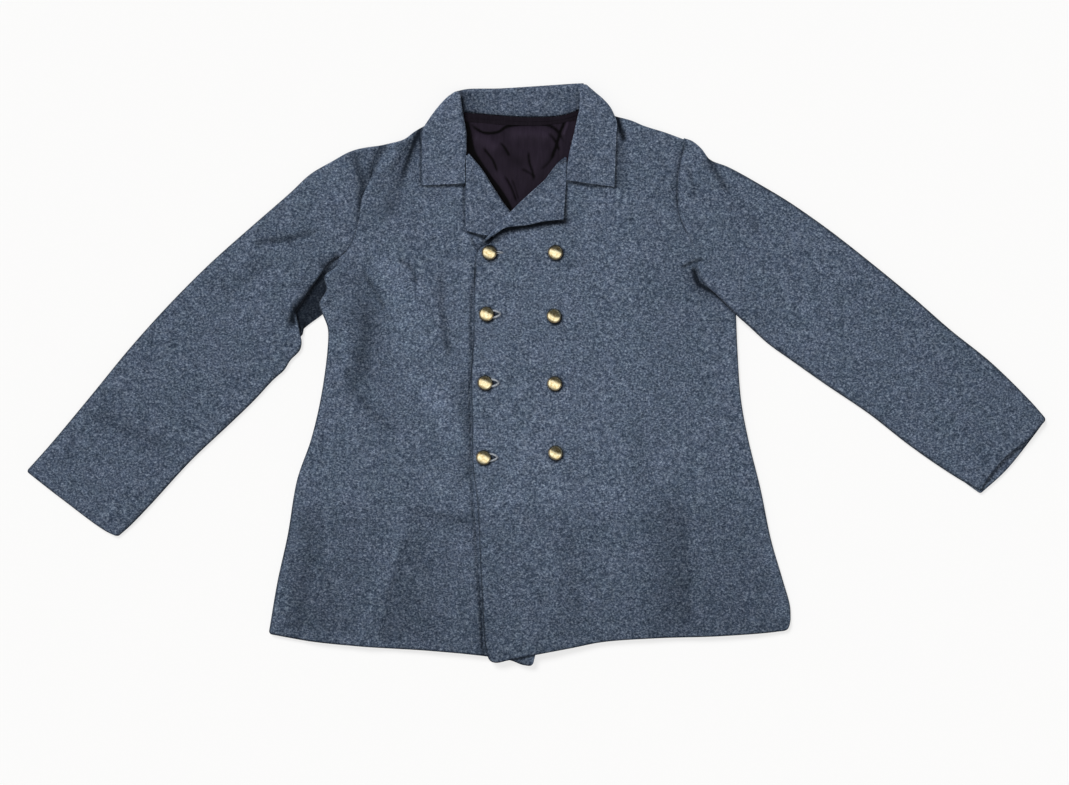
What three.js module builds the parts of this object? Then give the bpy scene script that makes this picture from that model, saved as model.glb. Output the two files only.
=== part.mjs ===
// Double-breasted wool sack coat, laid flat on a surface with its front up.
// Millimetres. +X is the wearer's left, +Y is towards the collar, +Z is up.
// The origin is at the middle of the coat's outline, on the surface.
// "Right" and "left" in the names are the wearer's.
import * as THREE from 'three';

// ---- driving dimensions ----

const WOOL = 2.4;               // heavy fulled wool with its backing
const SATIN = 1.0;              // lining with its interlining
const GAP = 0.35;               // between pieces that touch
const LIFT = WOOL + GAP;        // one more layer of wool
const LOOSE = 0.8;              // extra room where a collar or lapel lies on a front
const SIDE_ROLL = 7;            // width over which a folded side rounds off
const FRONT_ROLL = 3.5;         // the same at a pressed front edge
const COLLAR_ROLL = 6;          // the same where collar and lapels turn over
const EDGE_AIR = 1.0;           // room between the layers at a side
const BODY_AIR = 2.2;           // more room in the middle of the body
const SLEEVE_AIR = 2.6;         // and along the middle of a sleeve
const ROLL_AIR = 2.5;           // spring of the collar and lapels at their roll
const BUTTON_TURNS = 12;        // facets round a button

const COLOURS = {
  wool: 0x505b6a,
  collar_wool: 0x555f70,
  satin: 0x221e26,
  neck_cloth: 0x1e1d27,
  brass: 0xb08d45,
};

// ---- outlines: x, y of each point, from the collar down and from right to left ----

const SHOULDER_RIGHT = [[-210, 314], [-180, 322], [-166, 332], [-151, 340.5], [-117, 357]];
const ARMHOLE_RIGHT = [
  [-210, 314], [-220, 296], [-225, 270], [-238, 241], [-242, 216], [-247, 195], [-254, 178], [-262, 166],
];
const ARMPIT_RIGHT = [
  [-262, 166], [-273, 158], [-277, 145], [-290, 133], [-288, 115], [-296, 96], [-292, 82],
];
const SIDE_RIGHT = [
  [-292, 82], [-285, 63], [-285, 38], [-294, -30], [-308, -90], [-327, -145], [-340, -221], [-354, -285],
  [-366, -356],
];
const NECK_RIGHT = [
  [-117, 357], [-106, 334], [-99, 307], [-79, 279], [-60, 251], [-40, 222], [-14, 194], [17, 171],
];
const HIDDEN_EDGE_RIGHT = [[17, 171], [38, 162], [40, 60], [31, -77], [18, -227], [5, -360], [-4, -400]];
const HEM_RIGHT = [
  [-366, -356], [-309, -366], [-227, -374], [-145, -379], [-71, -386], [-34, -392], [-18, -398], [-4, -400],
];

const SHOULDER_LEFT = [[77, 362], [110, 353], [131, 347.5], [149, 340], [177, 331.5], [203, 322]];
const ARMHOLE_LEFT = [
  [203, 322], [199, 304], [194, 286], [191, 263], [191, 238], [195, 218], [203, 200], [214, 184],
];
const ARMPIT_LEFT = [[214, 184], [225, 162], [235, 140], [245, 121], [258, 101], [275, 84]];
const SIDE_LEFT = [
  [275, 84], [277, 33], [282, -36], [292, -90], [309, -159], [323, -227], [339, -282], [349, -318],
  [350, -338],
];
const NECK_LEFT = [[77, 362], [64, 334], [54, 307], [38, 283], [19, 263], [-2, 244], [-27, 222], [-64, 179]];
const EDGE_LEFT = [
  [-64, 179], [-79, 170], [-84, 110], [-85, 58], [-88, -1], [-87, -63], [-86, -125], [-80, -173], [-76, -249],
  [-72, -329], [-68, -378], [-63, -393],
];
const HEM_LEFT = [
  [-63, -393], [-53, -395], [-39, -392], [1, -384], [50, -375], [92, -367], [161, -362], [251, -359],
  [331, -353], [345, -350], [350, -338],
];

const BACK_TOP = [
  [-210, 310], [-180, 317], [-164, 326], [-145, 337], [-114, 352], [-90, 351], [-49, 347], [6, 347],
  [47, 349], [77, 357], [102, 348], [138, 338], [179, 325], [203, 314],
];
const BACK_ARMHOLE_RIGHT = [
  [-210, 310], [-224, 273], [-235, 241], [-242, 197], [-252, 153], [-268, 113], [-292, 82],
];
const BACK_ARMHOLE_LEFT = [[203, 314], [194, 279], [191, 241], [199, 204], [217, 163], [240, 122], [275, 84]];
const BACK_HEM = [[-366, -356], [-227, -370], [-90, -379], [0, -380], [90, -366], [251, -357], [350, -338]];

const SLEEVE_RIDGE_RIGHT = [
  [-249, 307], [-282, 290], [-309, 274], [-336, 249], [-391, 201], [-446, 152], [-501, 97], [-556, 36],
  [-610, -30], [-665, -96], [-698, -133],
];
const SLEEVE_LOW_RIGHT = [
  [-323, 33], [-336, 19], [-345, 5], [-360, -8], [-386, -36], [-419, -68], [-473, -119], [-528, -179],
  [-556, -208], [-573, -223],
];
const CUFF_RIGHT = [[-698, -133], [-646, -173], [-591, -214], [-573, -223]];
const SLEEVE_RIDGE_LEFT = [
  [214, 318], [226, 308], [238, 293], [264, 282], [306, 259], [349, 233], [403, 195], [458, 152], [513, 107],
  [568, 59], [623, 15], [677, -38], [699, -63],
];
const SLEEVE_LOW_LEFT = [[294, 66], [321, 42], [349, 22], [403, -16], [458, -53], [513, -96], [568, -134]];
const CUFF_LEFT = [[699, -63], [672, -92], [647, -111], [623, -138], [610, -159]];
const UNDER_CUFF_LEFT = [[699, -63], [679, -90], [645, -132], [610, -164]];

// ---- folds: a soft ridge or trough along a line, from x1, y1 to x2, y2 ----

const FOLD_COLUMNS = ['x1', 'y1', 'x2', 'y2', 'width', 'height'];
const BODY_FOLDS = table(FOLD_COLUMNS, [
  [-160, 322, -196, 228, 13, -2.0],     // right shoulder, beside the collar
  [-186, 316, -236, 232, 13, 2.4],      // the pushed-up cloth next to it
  [-285, 138, -289, 92, 22, 2.6],       // body bulging over the right armpit
  [-228, 160, -235, 10, 24, -1.0],
  [-265, -15, -176, -74, 22, -1.0],
  [-125, -67, -103, -118, 16, 0.9],
  [-228, -235, -228, -356, 22, 1.3],
  [-160, -190, -150, -356, 24, -1.2],
  [-309, -184, -309, -258, 20, -0.9],
  [116, 346, 116, 288, 10, -2.0],       // left shoulder, beside the collar
  [182, -172, 196, -335, 24, -1.0],
  [226, 140, 262, 92, 18, 1.0],
]);
const SLEEVE_FOLDS_RIGHT = table(FOLD_COLUMNS, [
  [-238, 290, -240, 235, 12, -1.9],     // beside the sleeve head's seam
  [-228, 300, -232, 270, 8, -1.0],
  [-280, 150, -325, 84, 20, 2.6],       // upper edge of the armpit's pocket
  [-380, 182, -300, 190, 14, -1.6],
  [-440, 101, -366, 153, 20, -1.3],
  [-616, -48, -491, -103, 18, -1.2],
]);
const SLEEVE_FOLDS_LEFT = table(FOLD_COLUMNS, [
  [246, 290, 264, 250, 9, -2.2],        // sleeve head folded back at the shoulder
  [228, 286, 248, 246, 12, 1.2],
  [314, 200, 326, 184, 14, -1.0],
  [420, 60, 520, -20, 24, 0.8],
]);

// ---- small tools ----

function table(columns, rows) {
  return rows.map((row) => Object.fromEntries(columns.map((column, index) => [column, row[index]])));
}

function distanceToLine(x, y, x1, y1, x2, y2) {
  const along = ((x - x1) * (x2 - x1) + (y - y1) * (y2 - y1)) / ((x2 - x1) ** 2 + (y2 - y1) ** 2);
  const t = THREE.MathUtils.clamp(along, 0, 1);
  return Math.hypot(x - x1 - t * (x2 - x1), y - y1 - t * (y2 - y1));
}

function folded(folds, x, y) {
  let height = 0;
  for (const fold of folds) {
    const away = distanceToLine(x, y, fold.x1, fold.y1, fold.x2, fold.y2) / fold.width;
    height += fold.height * Math.exp(-away * away);
  }
  return height;
}

// 0 before the first value, 1 after the second, smooth between them.
function ease(from, to, value) {
  return THREE.MathUtils.smoothstep(value, from, to);
}

// A smooth line through points, read by the distance along it.
function edge(points) {
  const corners = points.map(([x, y]) => new THREE.Vector3(x, y, 0));
  const spline = new THREE.CatmullRomCurve3(corners, false, 'centripetal');
  return measured(spline.getPoints((points.length - 1) * 12));
}

function join(...edges) {
  return measured(edges.flatMap((one, index) => (index ? one.samples.slice(1) : one.samples)));
}

// Two edges end to end, with the joint always at the same share of the way.
function knee(first, second, share) {
  const at = (part) => (part < share
    ? first.at(first.length * part / share)
    : second.at(second.length * (part - share) / (1 - share)));
  return { length: 1, at };
}

function measured(samples) {
  const lengths = [0];
  for (let i = 1; i < samples.length; i++) {
    lengths.push(lengths[i - 1] + samples[i].distanceTo(samples[i - 1]));
  }
  const length = lengths[lengths.length - 1];
  const at = (distance) => {
    const wanted = THREE.MathUtils.clamp(distance, 0, length);
    let i = 1;
    while (i < lengths.length - 1 && lengths[i] < wanted) i++;
    const part = (wanted - lengths[i - 1]) / (lengths[i] - lengths[i - 1]);
    return new THREE.Vector3().lerpVectors(samples[i - 1], samples[i], part);
  };
  return { samples, length, at };
}

// The plan of a pattern piece, filled in between its four edges.
function plan({ top, bottom, left, right }) {
  const point = (one, part) => one.at(part * one.length);
  const [topLeft, topRight] = [point(top, 0), point(top, 1)];
  const [bottomLeft, bottomRight] = [point(bottom, 0), point(bottom, 1)];
  return (u, v) => {
    const [t, b, l, r] = [point(top, u), point(bottom, u), point(left, v), point(right, v)];
    const blend = (axis) => (1 - v) * t[axis] + v * b[axis] + (1 - u) * l[axis] + u * r[axis]
      - (1 - u) * (1 - v) * topLeft[axis] - u * (1 - v) * topRight[axis]
      - (1 - u) * v * bottomLeft[axis] - u * v * bottomRight[axis];
    return { x: blend('x'), y: blend('y') };
  };
}

// Where the lines of a piece's grid lie along one side of it, as parts of that side's length.
// A rounded end has lines close together: `at` is the outer skin's place, `tuck` the inner skin's,
// and `rise` how far up the quarter-round the line is.
function lines({ length, wall = WOOL, stops, rollStart = 0, rollEnd = 0 }) {
  const arc = (roll, end) => [0, 30, 60, 90].map((degrees) => {
    const angle = THREE.MathUtils.degToRad(degrees);
    const at = roll * (1 - Math.cos(angle)) / length;
    const tuck = (wall + (roll - wall) * (1 - Math.cos(angle))) / length;
    return { at: end ? 1 - at : at, tuck: end ? 1 - tuck : tuck, rise: Math.sin(angle), end };
  });
  const first = rollStart ? arc(rollStart, false) : [];
  const last = rollEnd ? arc(rollEnd, true).reverse() : [];
  const inner = stops.map((stop) => stop / length)
    .filter((part) => part > rollStart / length + 0.004 || !rollStart)
    .filter((part) => part < 1 - rollEnd / length - 0.004 || !rollEnd)
    .map((part) => ({ at: part, tuck: part, rise: 1, end: false }));
  return [...first, ...inner, ...last];
}

function evenly(from, to, steps) {
  return Array.from({ length: steps + 1 }, (_, step) => from + (to - from) * step / steps);
}

// A closed wall between two skins of the same grid.
function wallGeometry(outer, inner) {
  const rows = outer.length;
  const columns = outer[0].length;
  const positions = [...outer.flat(), ...inner.flat()].flat();
  const outside = (row, column) => row * columns + column;
  const inside = (row, column) => rows * columns + row * columns + column;
  const indices = [];
  const quad = (a, b, c, d) => indices.push(a, b, c, a, c, d);
  for (let row = 0; row < rows - 1; row++) {
    for (let column = 0; column < columns - 1; column++) {
      quad(outside(row, column), outside(row + 1, column), outside(row + 1, column + 1),
        outside(row, column + 1));
      quad(inside(row, column), inside(row, column + 1), inside(row + 1, column + 1),
        inside(row + 1, column));
    }
  }
  const rim = [];
  for (let column = 0; column < columns - 1; column++) rim.push([0, column]);
  for (let row = 0; row < rows - 1; row++) rim.push([row, columns - 1]);
  for (let column = columns - 1; column > 0; column--) rim.push([rows - 1, column]);
  for (let row = rows - 1; row > 0; row--) rim.push([row, 0]);
  rim.forEach((here, index) => {
    const next = rim[(index + 1) % rim.length];
    quad(outside(...here), outside(...next), inside(...next), inside(...here));
  });
  const geometry = new THREE.BufferGeometry();
  geometry.setAttribute('position', new THREE.Float32BufferAttribute(positions, 3));
  geometry.setIndex(volume(positions, indices) < 0 ? indices.reverse() : indices);
  geometry.computeVertexNormals();
  return geometry;
}

function volume(positions, indices) {
  const corner = (index) => new THREE.Vector3().fromArray(positions, indices[index] * 3);
  let sum = 0;
  for (let i = 0; i < indices.length; i += 3) sum += corner(i).dot(corner(i + 1).cross(corner(i + 2))) / 6;
  return sum;
}

function material(colour, roughness = 0.95, metalness = 0) {
  return new THREE.MeshStandardMaterial({ color: COLOURS[colour], roughness, metalness });
}

const coat = new THREE.Group();

function add(name, geometry, look) {
  const mesh = new THREE.Mesh(geometry, look);
  mesh.name = name;
  coat.add(mesh);
  return mesh;
}

// One cut piece: its plan, the height of its upper face, and the level that its rounded edges come down to.
// `rounded` says how much each side is rounded, from 0 to 1, along its length.
function panel({ name, edges, across, down, face, level, rounded = {}, wall = WOOL, colour = 'wool' }) {
  const place = plan(edges);
  const amount = (side, part) => (side in rounded ? rounded[side](part) : 0);
  const outer = [];
  const inner = [];
  for (const row of down) {
    const outerRow = [];
    const innerRow = [];
    for (const column of across) {
      const roundU = amount(column.end ? 'right' : 'left', row.at);
      const roundV = amount(row.end ? 'bottom' : 'top', column.at);
      const mix = (line, part) => THREE.MathUtils.lerp(line.at, line.tuck, part);
      const rise = THREE.MathUtils.lerp(1, column.rise, roundU) * THREE.MathUtils.lerp(1, row.rise, roundV);
      const o = place(column.at, row.at);
      const i = place(mix(column, roundU), mix(row, roundV));
      const low = level(o.x, o.y);
      const lowInside = level(i.x, i.y);
      outerRow.push([o.x, o.y, low + (face(o.x, o.y, column.at, row.at) - low) * rise]);
      innerRow.push([i.x, i.y, lowInside + (face(i.x, i.y, column.at, row.at) - wall - lowInside) * rise]);
    }
    outer.push(outerRow);
    inner.push(innerRow);
  }
  return add(name, wallGeometry(outer, inner), material(colour));
}

// ---- how the layers lie on each other ----

const MIDDLE_X = -8;
const NECK = { x: -20, y: 290, wide: 122, high: 112 };
const FALL_EDGE = { x: -14, y: 319, curve: 0.0017 };

function crown(x, y) {
  const half = y > 82 ? THREE.MathUtils.mapLinear(y, 82, 320, 283, 205) : 283 + (82 - y) * 0.19;
  return EDGE_AIR + BODY_AIR * ease(0, 110, half - Math.abs(x - MIDDLE_X));
}

// The back lies on the surface, but for the collar's fall that is tucked under it.
function backFace(x, y) {
  const fallEdge = FALL_EDGE.y + FALL_EDGE.curve * (x - FALL_EDGE.x) ** 2;
  return WOOL + LIFT * ease(fallEdge - 70, fallEdge - 14, y);
}

function liningFace(x, y) {
  return backFace(x, y) + GAP + SATIN;
}

// Upper face of a front, where it lies on the back alone, before its folds.
function smoothFront(x, y) {
  const reach = Math.hypot((x - NECK.x) / NECK.wide, (y - NECK.y) / NECK.high);
  const lining = (SATIN + GAP) * (1 - ease(1, 1.35, reach));
  return backFace(x, y) + lining + LIFT + crown(x, y);
}

function frontFace(x, y) {
  const flat = smoothFront(x, y) - crown(x, y);
  return flat + Math.max(0.2, crown(x, y) + folded(BODY_FOLDS, x, y));
}

function frontLevel(x, y) {
  return smoothFront(x, y) - crown(x, y) - WOOL;
}

// How much the left front is raised by the right front, and by its lapel, underneath.
function layersUnderLeft(x, y) {
  const hidden = [...NECK_RIGHT.slice(3), ...HIDDEN_EDGE_RIGHT.slice(1)];
  let index = 1;
  while (index < hidden.length - 1 && hidden[index][1] > y) index++;
  const [[x1, y1], [x2, y2]] = [hidden[index - 1], hidden[index]];
  const edgeX = THREE.MathUtils.mapLinear(THREE.MathUtils.clamp(y, y2, y1), y1, y2, x1, x2);
  const front = 1 - ease(edgeX + 16, edgeX + 56, x);
  const lapel = (1 - ease(28, 70, x)) * ease(140, 176, y);
  return LIFT * front + (LIFT + LOOSE) * lapel;
}

function leftFace(x, y) {
  return frontFace(x, y) + layersUnderLeft(x, y);
}

// Level that the left front's edges come down to: the right front, or the back past it.
function leftLevel(x, y) {
  const onFront = THREE.MathUtils.clamp(layersUnderLeft(x, y) / LIFT, 0, 1);
  const lapel = Math.max(0, layersUnderLeft(x, y) - LIFT);
  return THREE.MathUtils.lerp(frontLevel(x, y), frontFace(x, y) + GAP, onFront) + lapel;
}

function smoothLeft(x, y) {
  return smoothFront(x, y) + layersUnderLeft(x, y);
}

// ---- body ----

const armholeRight = edge(ARMHOLE_RIGHT);
const armholeLeft = edge(ARMHOLE_LEFT);
const armpitRight = edge(ARMPIT_RIGHT);
const armpitLeft = edge(ARMPIT_LEFT);
const sideOfRightFront = join(armholeRight, armpitRight, edge(SIDE_RIGHT));
const sideOfLeftFront = join(armholeLeft, armpitLeft, edge(SIDE_LEFT));
const SIDE_STEPS = 11;
const ARMHOLE_STEPS = 8;
const armholeStops = (one) => [...evenly(0, one.length - SIDE_ROLL, ARMHOLE_STEPS), one.length];
const sideStops = (armhole, armpit, whole, armpitSteps) => [
  ...armholeStops(armhole),
  ...evenly(armhole.length, armhole.length + armpit.length, armpitSteps).slice(1),
  ...evenly(armhole.length + armpit.length, whole.length, SIDE_STEPS).slice(1),
];

panel({
  name: 'front_right',
  edges: {
    top: edge(SHOULDER_RIGHT),
    bottom: edge(HEM_RIGHT),
    left: sideOfRightFront,
    right: join(edge(NECK_RIGHT), edge(HIDDEN_EDGE_RIGHT)),
  },
  across: lines({ length: 330, stops: evenly(0, 330, 11), rollStart: SIDE_ROLL }),
  down: lines({
    length: sideOfRightFront.length,
    stops: sideStops(armholeRight, armpitRight, sideOfRightFront, 7),
    rollStart: SIDE_ROLL,
  }),
  face: frontFace,
  level: frontLevel,
  rounded: { top: () => 1, left: (part) => ease(0.2, 0.27, part) },
});

const frontLeft = panel({
  name: 'front_left',
  edges: {
    top: edge(SHOULDER_LEFT),
    bottom: edge(HEM_LEFT),
    left: join(edge(NECK_LEFT), edge(EDGE_LEFT)),
    right: sideOfLeftFront,
  },
  across: lines({ length: 390, stops: evenly(0, 390, 13), rollStart: FRONT_ROLL, rollEnd: SIDE_ROLL }),
  down: lines({
    length: sideOfLeftFront.length,
    stops: sideStops(armholeLeft, armpitLeft, sideOfLeftFront, 4),
    rollStart: SIDE_ROLL,
  }),
  face: leftFace,
  level: leftLevel,
  rounded: {
    top: () => 1,
    left: (part) => 0.6 * ease(0.3, 0.34, part),
    right: (part) => ease(0.21, 0.28, part),
  },
});

const backArmholeRight = edge(BACK_ARMHOLE_RIGHT);
const backArmholeLeft = edge(BACK_ARMHOLE_LEFT);
const BACK_ARMHOLE_STEPS = 9;
const BACK_ARMHOLE_SHARE = 0.36;

panel({
  name: 'back',
  edges: {
    top: edge(BACK_TOP),
    bottom: edge(BACK_HEM),
    left: knee(backArmholeRight, edge(SIDE_RIGHT), BACK_ARMHOLE_SHARE),
    right: knee(backArmholeLeft, edge(SIDE_LEFT), BACK_ARMHOLE_SHARE),
  },
  across: lines({ length: 1, stops: evenly(0, 1, 17) }),
  down: lines({
    length: 1,
    stops: [
      ...evenly(0, BACK_ARMHOLE_SHARE, BACK_ARMHOLE_STEPS),
      ...evenly(BACK_ARMHOLE_SHARE, 1, 8).slice(1),
    ],
  }),
  face: backFace,
  level: () => 0,
});

// ---- sleeves, each an upper and an under piece ----

const SURFACE_LEVEL = WOOL + GAP;
const SLEEVE_ROWS = 13;

function sleeveFace(folds, level) {
  return (x, y, u) => {
    const air = EDGE_AIR + SLEEVE_AIR * Math.sin(Math.PI * THREE.MathUtils.clamp(u, 0, 1));
    return level(x, y) + WOOL + Math.max(0.2, air + folded(folds, x, y));
  };
}

// The left sleeve lies over the body at the armpit.
function leftSleeveLevel(x, y) {
  const seam = ARMPIT_LEFT.slice(1).map(([x2, y2], index) => {
    const [x1, y1] = ARMPIT_LEFT[index];
    return distanceToLine(x, y, x1, y1, x2, y2);
  });
  const over = 1 - ease(14, 60, Math.min(...seam));
  return THREE.MathUtils.lerp(SURFACE_LEVEL, smoothFront(x, y) + 1.4, over);
}

function sleeveDown(start) {
  return lines({ length: 500, stops: [...evenly(start, 48, 4), ...evenly(48, 500, SLEEVE_ROWS).slice(1)] });
}

const sleeveStartLeft = join(armholeLeft, edge([[214, 184], [220, 168], [219, 153]]));
const SEAM = GAP;

panel({
  name: 'sleeve_top_right',
  edges: {
    top: armholeRight,
    bottom: edge(CUFF_RIGHT),
    left: edge([[-210, 314], ...SLEEVE_RIDGE_RIGHT]),
    right: edge([[-262, 166], [-273, 158], [-292, 133], [-319, 99], [-332, 77], [-327, 60], [-321, 47],
      ...SLEEVE_LOW_RIGHT]),
  },
  across: lines({ length: armholeRight.length, stops: armholeStops(armholeRight), rollStart: SIDE_ROLL,
    rollEnd: SIDE_ROLL }),
  down: sleeveDown(SEAM),
  face: sleeveFace(SLEEVE_FOLDS_RIGHT, () => SURFACE_LEVEL),
  level: () => SURFACE_LEVEL,
  rounded: { left: () => 1, right: () => 1 },
});

panel({
  name: 'sleeve_top_left',
  edges: {
    top: sleeveStartLeft,
    bottom: edge(CUFF_LEFT),
    left: edge([[203, 322], ...SLEEVE_RIDGE_LEFT]),
    right: edge([[219, 153], [225, 130], [231, 116], [242, 107], [256, 97], [272, 82], ...SLEEVE_LOW_LEFT,
      [610, -159]]),
  },
  across: lines({
    length: sleeveStartLeft.length,
    stops: [...armholeStops(armholeLeft), armholeLeft.length + 16, sleeveStartLeft.length],
    rollStart: SIDE_ROLL,
    rollEnd: SIDE_ROLL,
  }),
  down: sleeveDown(SEAM),
  face: sleeveFace(SLEEVE_FOLDS_LEFT, leftSleeveLevel),
  level: leftSleeveLevel,
  rounded: { left: () => 1, right: () => 1 },
});

function underSleeve(name, edges) {
  panel({
    name,
    edges,
    across: lines({ length: 1, stops: evenly(0, 1, BACK_ARMHOLE_STEPS) }),
    down: lines({ length: 500, stops: [...evenly(SEAM, 48, 3), ...evenly(48, 500, 12).slice(1)] }),
    face: () => WOOL,
    level: () => 0,
  });
}

underSleeve('sleeve_under_right', {
  top: backArmholeRight,
  bottom: edge(CUFF_RIGHT),
  left: edge([[-210, 310], ...SLEEVE_RIDGE_RIGHT]),
  right: edge([[-292, 82], [-317, 62], [-319, 47], ...SLEEVE_LOW_RIGHT]),
});

underSleeve('sleeve_under_left', {
  top: backArmholeLeft,
  bottom: edge(UNDER_CUFF_LEFT),
  left: edge([[203, 314], ...SLEEVE_RIDGE_LEFT]),
  right: edge([[275, 84], ...SLEEVE_LOW_LEFT, [610, -164]]),
});

// ---- neck: lining, facing strip and the stand of the collar ----

panel({
  name: 'back_lining',
  edges: {
    top: edge([[-112, 347], [-95, 346.5], [-47, 342.5], [6, 341.5], [34, 344.5], [53, 348.5], [71, 352]]),
    bottom: edge([[-46, 206], [-22, 206]]),
    left: edge([[-112, 347], [-109, 305], [-90, 268], [-67, 236], [-46, 206]]),
    right: edge([[71, 352], [62, 318], [55, 290], [35, 262], [5, 232], [-22, 206]]),
  },
  across: lines({ length: 1, stops: evenly(0, 1, 9) }),
  down: lines({ length: 1, stops: evenly(0, 1, 10) }),
  face: liningFace,
  level: backFace,
  wall: SATIN,
  colour: 'satin',
});

panel({
  name: 'neck_facing',
  edges: {
    top: edge([[-112, 359.5], [-101, 358.6], [-61, 354.8], [-9, 351.8], [35, 353.8], [58, 360.8], [70, 365]]),
    bottom: edge([
      [-112, 347.8], [-95, 347.2], [-47, 343.2], [6, 342.2], [34, 345.2], [53, 349.2], [70.5, 353],
    ]),
    left: edge([[-112, 359.5], [-112, 347.8]]),
    right: edge([[70, 365], [70.5, 353]]),
  },
  across: lines({ length: 1, stops: evenly(0, 1, 12) }),
  down: lines({ length: 1, stops: evenly(0, 1, 2) }),
  face: liningFace,
  level: backFace,
  wall: SATIN,
  colour: 'neck_cloth',
});

function standFace(x) {
  return SURFACE_LEVEL + WOOL + EDGE_AIR + 3 * ease(55, 88, Math.abs(x + 21));
}

panel({
  name: 'collar_stand',
  edges: {
    top: edge([[-101, 384], [-93, 387.5], [-49, 389.5], [-8, 392.5], [53, 395.5], [60, 394]]),
    bottom: edge([[-111, 361], [-101, 360], [-61, 356], [-9, 353], [35, 355], [58, 362], [67, 367]]),
    left: edge([[-101, 384], [-111, 361]]),
    right: edge([[60, 394], [67, 367]]),
  },
  across: lines({ length: 1, stops: evenly(0, 1, 14) }),
  down: lines({ length: 34, stops: evenly(0, 34, 4), rollStart: COLLAR_ROLL }),
  face: standFace,
  level: () => SURFACE_LEVEL,
  rounded: { top: () => 1 },
  colour: 'collar_wool',
});

// ---- collar fall: a leaf on each front, and between them the part that lies behind the neck ----

const CREASE_TURNS = 6;
const COLLAR_COLUMNS = ['outerX', 'outerY', 'innerX', 'innerY', 'rolled', 'behind'];
const CREASE_RIGHT = { outerX: -146, outerY: 338, innerX: -103, innerY: 382, awayX: -0.718, awayY: 0.695 };
const CREASE_LEFT = { outerX: 103, outerY: 351.5, innerX: 62, innerY: 392.5, awayX: 0.723, awayY: 0.69 };
const CREASE_BULGE = 1.5;
const LEAF_RIGHT = table(COLLAR_COLUMNS, [
  [-153, 258, -96.3, 260.5, 0, 0],
  [-155, 286, -96.3, 285, 0, 0],
  [-155, 307, -94, 304, 0.6, 0],
  [-155, 326, -94, 329, 1, 0],
  [-151, 336, -100, 357, 1, 0],
]);
const FALL_BEHIND = table(COLLAR_COLUMNS, [
  [-131, 334, -99, 386, 0, 1],
  [-76, 323, -62, 388.5, 0, 1],
  [-14, 319, -14, 392.5, 0, 1],
  [47, 325, 34, 395, 0, 1],
  [90, 340, 57, 395.5, 0, 1],
]);
const LEAF_LEFT = table(COLLAR_COLUMNS, [
  [112, 341, 58, 363, 1, 0],
  [110, 321, 49, 327, 1, 0],
  [109, 293, 44, 300, 0.6, 0],
  [108.5, 275, 43.4, 283, 0, 0],
  [108, 256, 42.7, 264.5, 0, 0],
]);

function crease(line, reversed) {
  return evenly(0, 180, CREASE_TURNS)
    .map((turn) => ({ ...line, rolled: 0, turn: reversed ? 180 - turn : turn }));
}

function leafFace(x, y, inward) {
  const front = x < MIDDLE_X ? smoothFront(x, y) : smoothLeft(x, y);
  return front + LIFT + LOOSE + ROLL_AIR * ease(0.45, 1, inward);
}

function collarFall() {
  const stations = [
    ...LEAF_RIGHT, ...crease(CREASE_RIGHT, false), ...FALL_BEHIND, ...crease(CREASE_LEFT, true), ...LEAF_LEFT,
  ];
  const across = lines({ length: 60, stops: evenly(0, 60, 5), rollEnd: COLLAR_ROLL });
  const outer = [];
  const inner = [];
  for (const station of stations) {
    const turn = THREE.MathUtils.degToRad(station.turn ?? 180 * station.behind);
    const outerRow = [];
    const innerRow = [];
    for (const line of across) {
      const at = (part) => [
        THREE.MathUtils.lerp(station.outerX, station.innerX, part),
        THREE.MathUtils.lerp(station.outerY, station.innerY, part),
      ];
      const [x, y] = at(line.at);
      const [tuckX, tuckY] = at(THREE.MathUtils.lerp(line.at, line.tuck, station.rolled));
      if (turn > 0) {
        const radius = leafFace(x, y, line.at) / 2;
        const bulge = CREASE_BULGE * Math.sin(Math.PI * line.at);
        const away = [(station.awayX ?? 0) * Math.sin(turn), (station.awayY ?? 0) * Math.sin(turn)];
        const skin = (depth) => [
          x + away[0] * (radius + bulge - depth),
          y + away[1] * (radius + bulge - depth),
          radius + (radius - depth) * Math.cos(turn),
        ];
        outerRow.push(skin(0));
        innerRow.push(skin(WOOL));
      } else {
        const rise = THREE.MathUtils.lerp(1, line.rise, station.rolled);
        const level = leafFace(x, y, 0) - WOOL;
        outerRow.push([x, y, level + (leafFace(x, y, line.at) - level) * rise]);
        innerRow.push([tuckX, tuckY, level + (leafFace(x, y, line.at) - WOOL - level) * rise]);
      }
    }
    outer.push(outerRow);
    inner.push(innerRow);
  }
  add('collar_fall', wallGeometry(outer, inner), material('collar_wool'));
}

collarFall();

// ---- lapels: the facings, turned out at the roll and lying on the fronts ----

function lapel(name, edges, front, spring, lifted) {
  panel({
    name,
    edges,
    across: lines({ length: 60, stops: evenly(0, 60, 6), rollStart: COLLAR_ROLL }),
    down: lines({ length: 1, stops: evenly(0, 1, 12) }),
    face: (x, y, u, v) => front(x, y) + LIFT
      + spring(v) * (LOOSE + ROLL_AIR * (1 - ease(0, 0.6, u))) + lifted * v ** 4,
    level: (x, y) => front(x, y) - WOOL,
    rounded: { left: () => 1 },
    colour: 'collar_wool',
  });
}

lapel('lapel_right', {
  top: edge([[-92, 299.5], [-94.6, 298]]),
  bottom: edge([[20, 181], [-21, 184], [-71, 190], [-95, 196]]),
  left: edge([[-92, 299.5], [-73, 280], [-54, 251], [-35, 224], [-8, 200], [20, 181]]),
  right: edge([[-94.6, 298], [-95.3, 260], [-95, 196]]),
}, smoothFront, (v) => 1 - ease(0.3, 0.52, v), 0);

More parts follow.
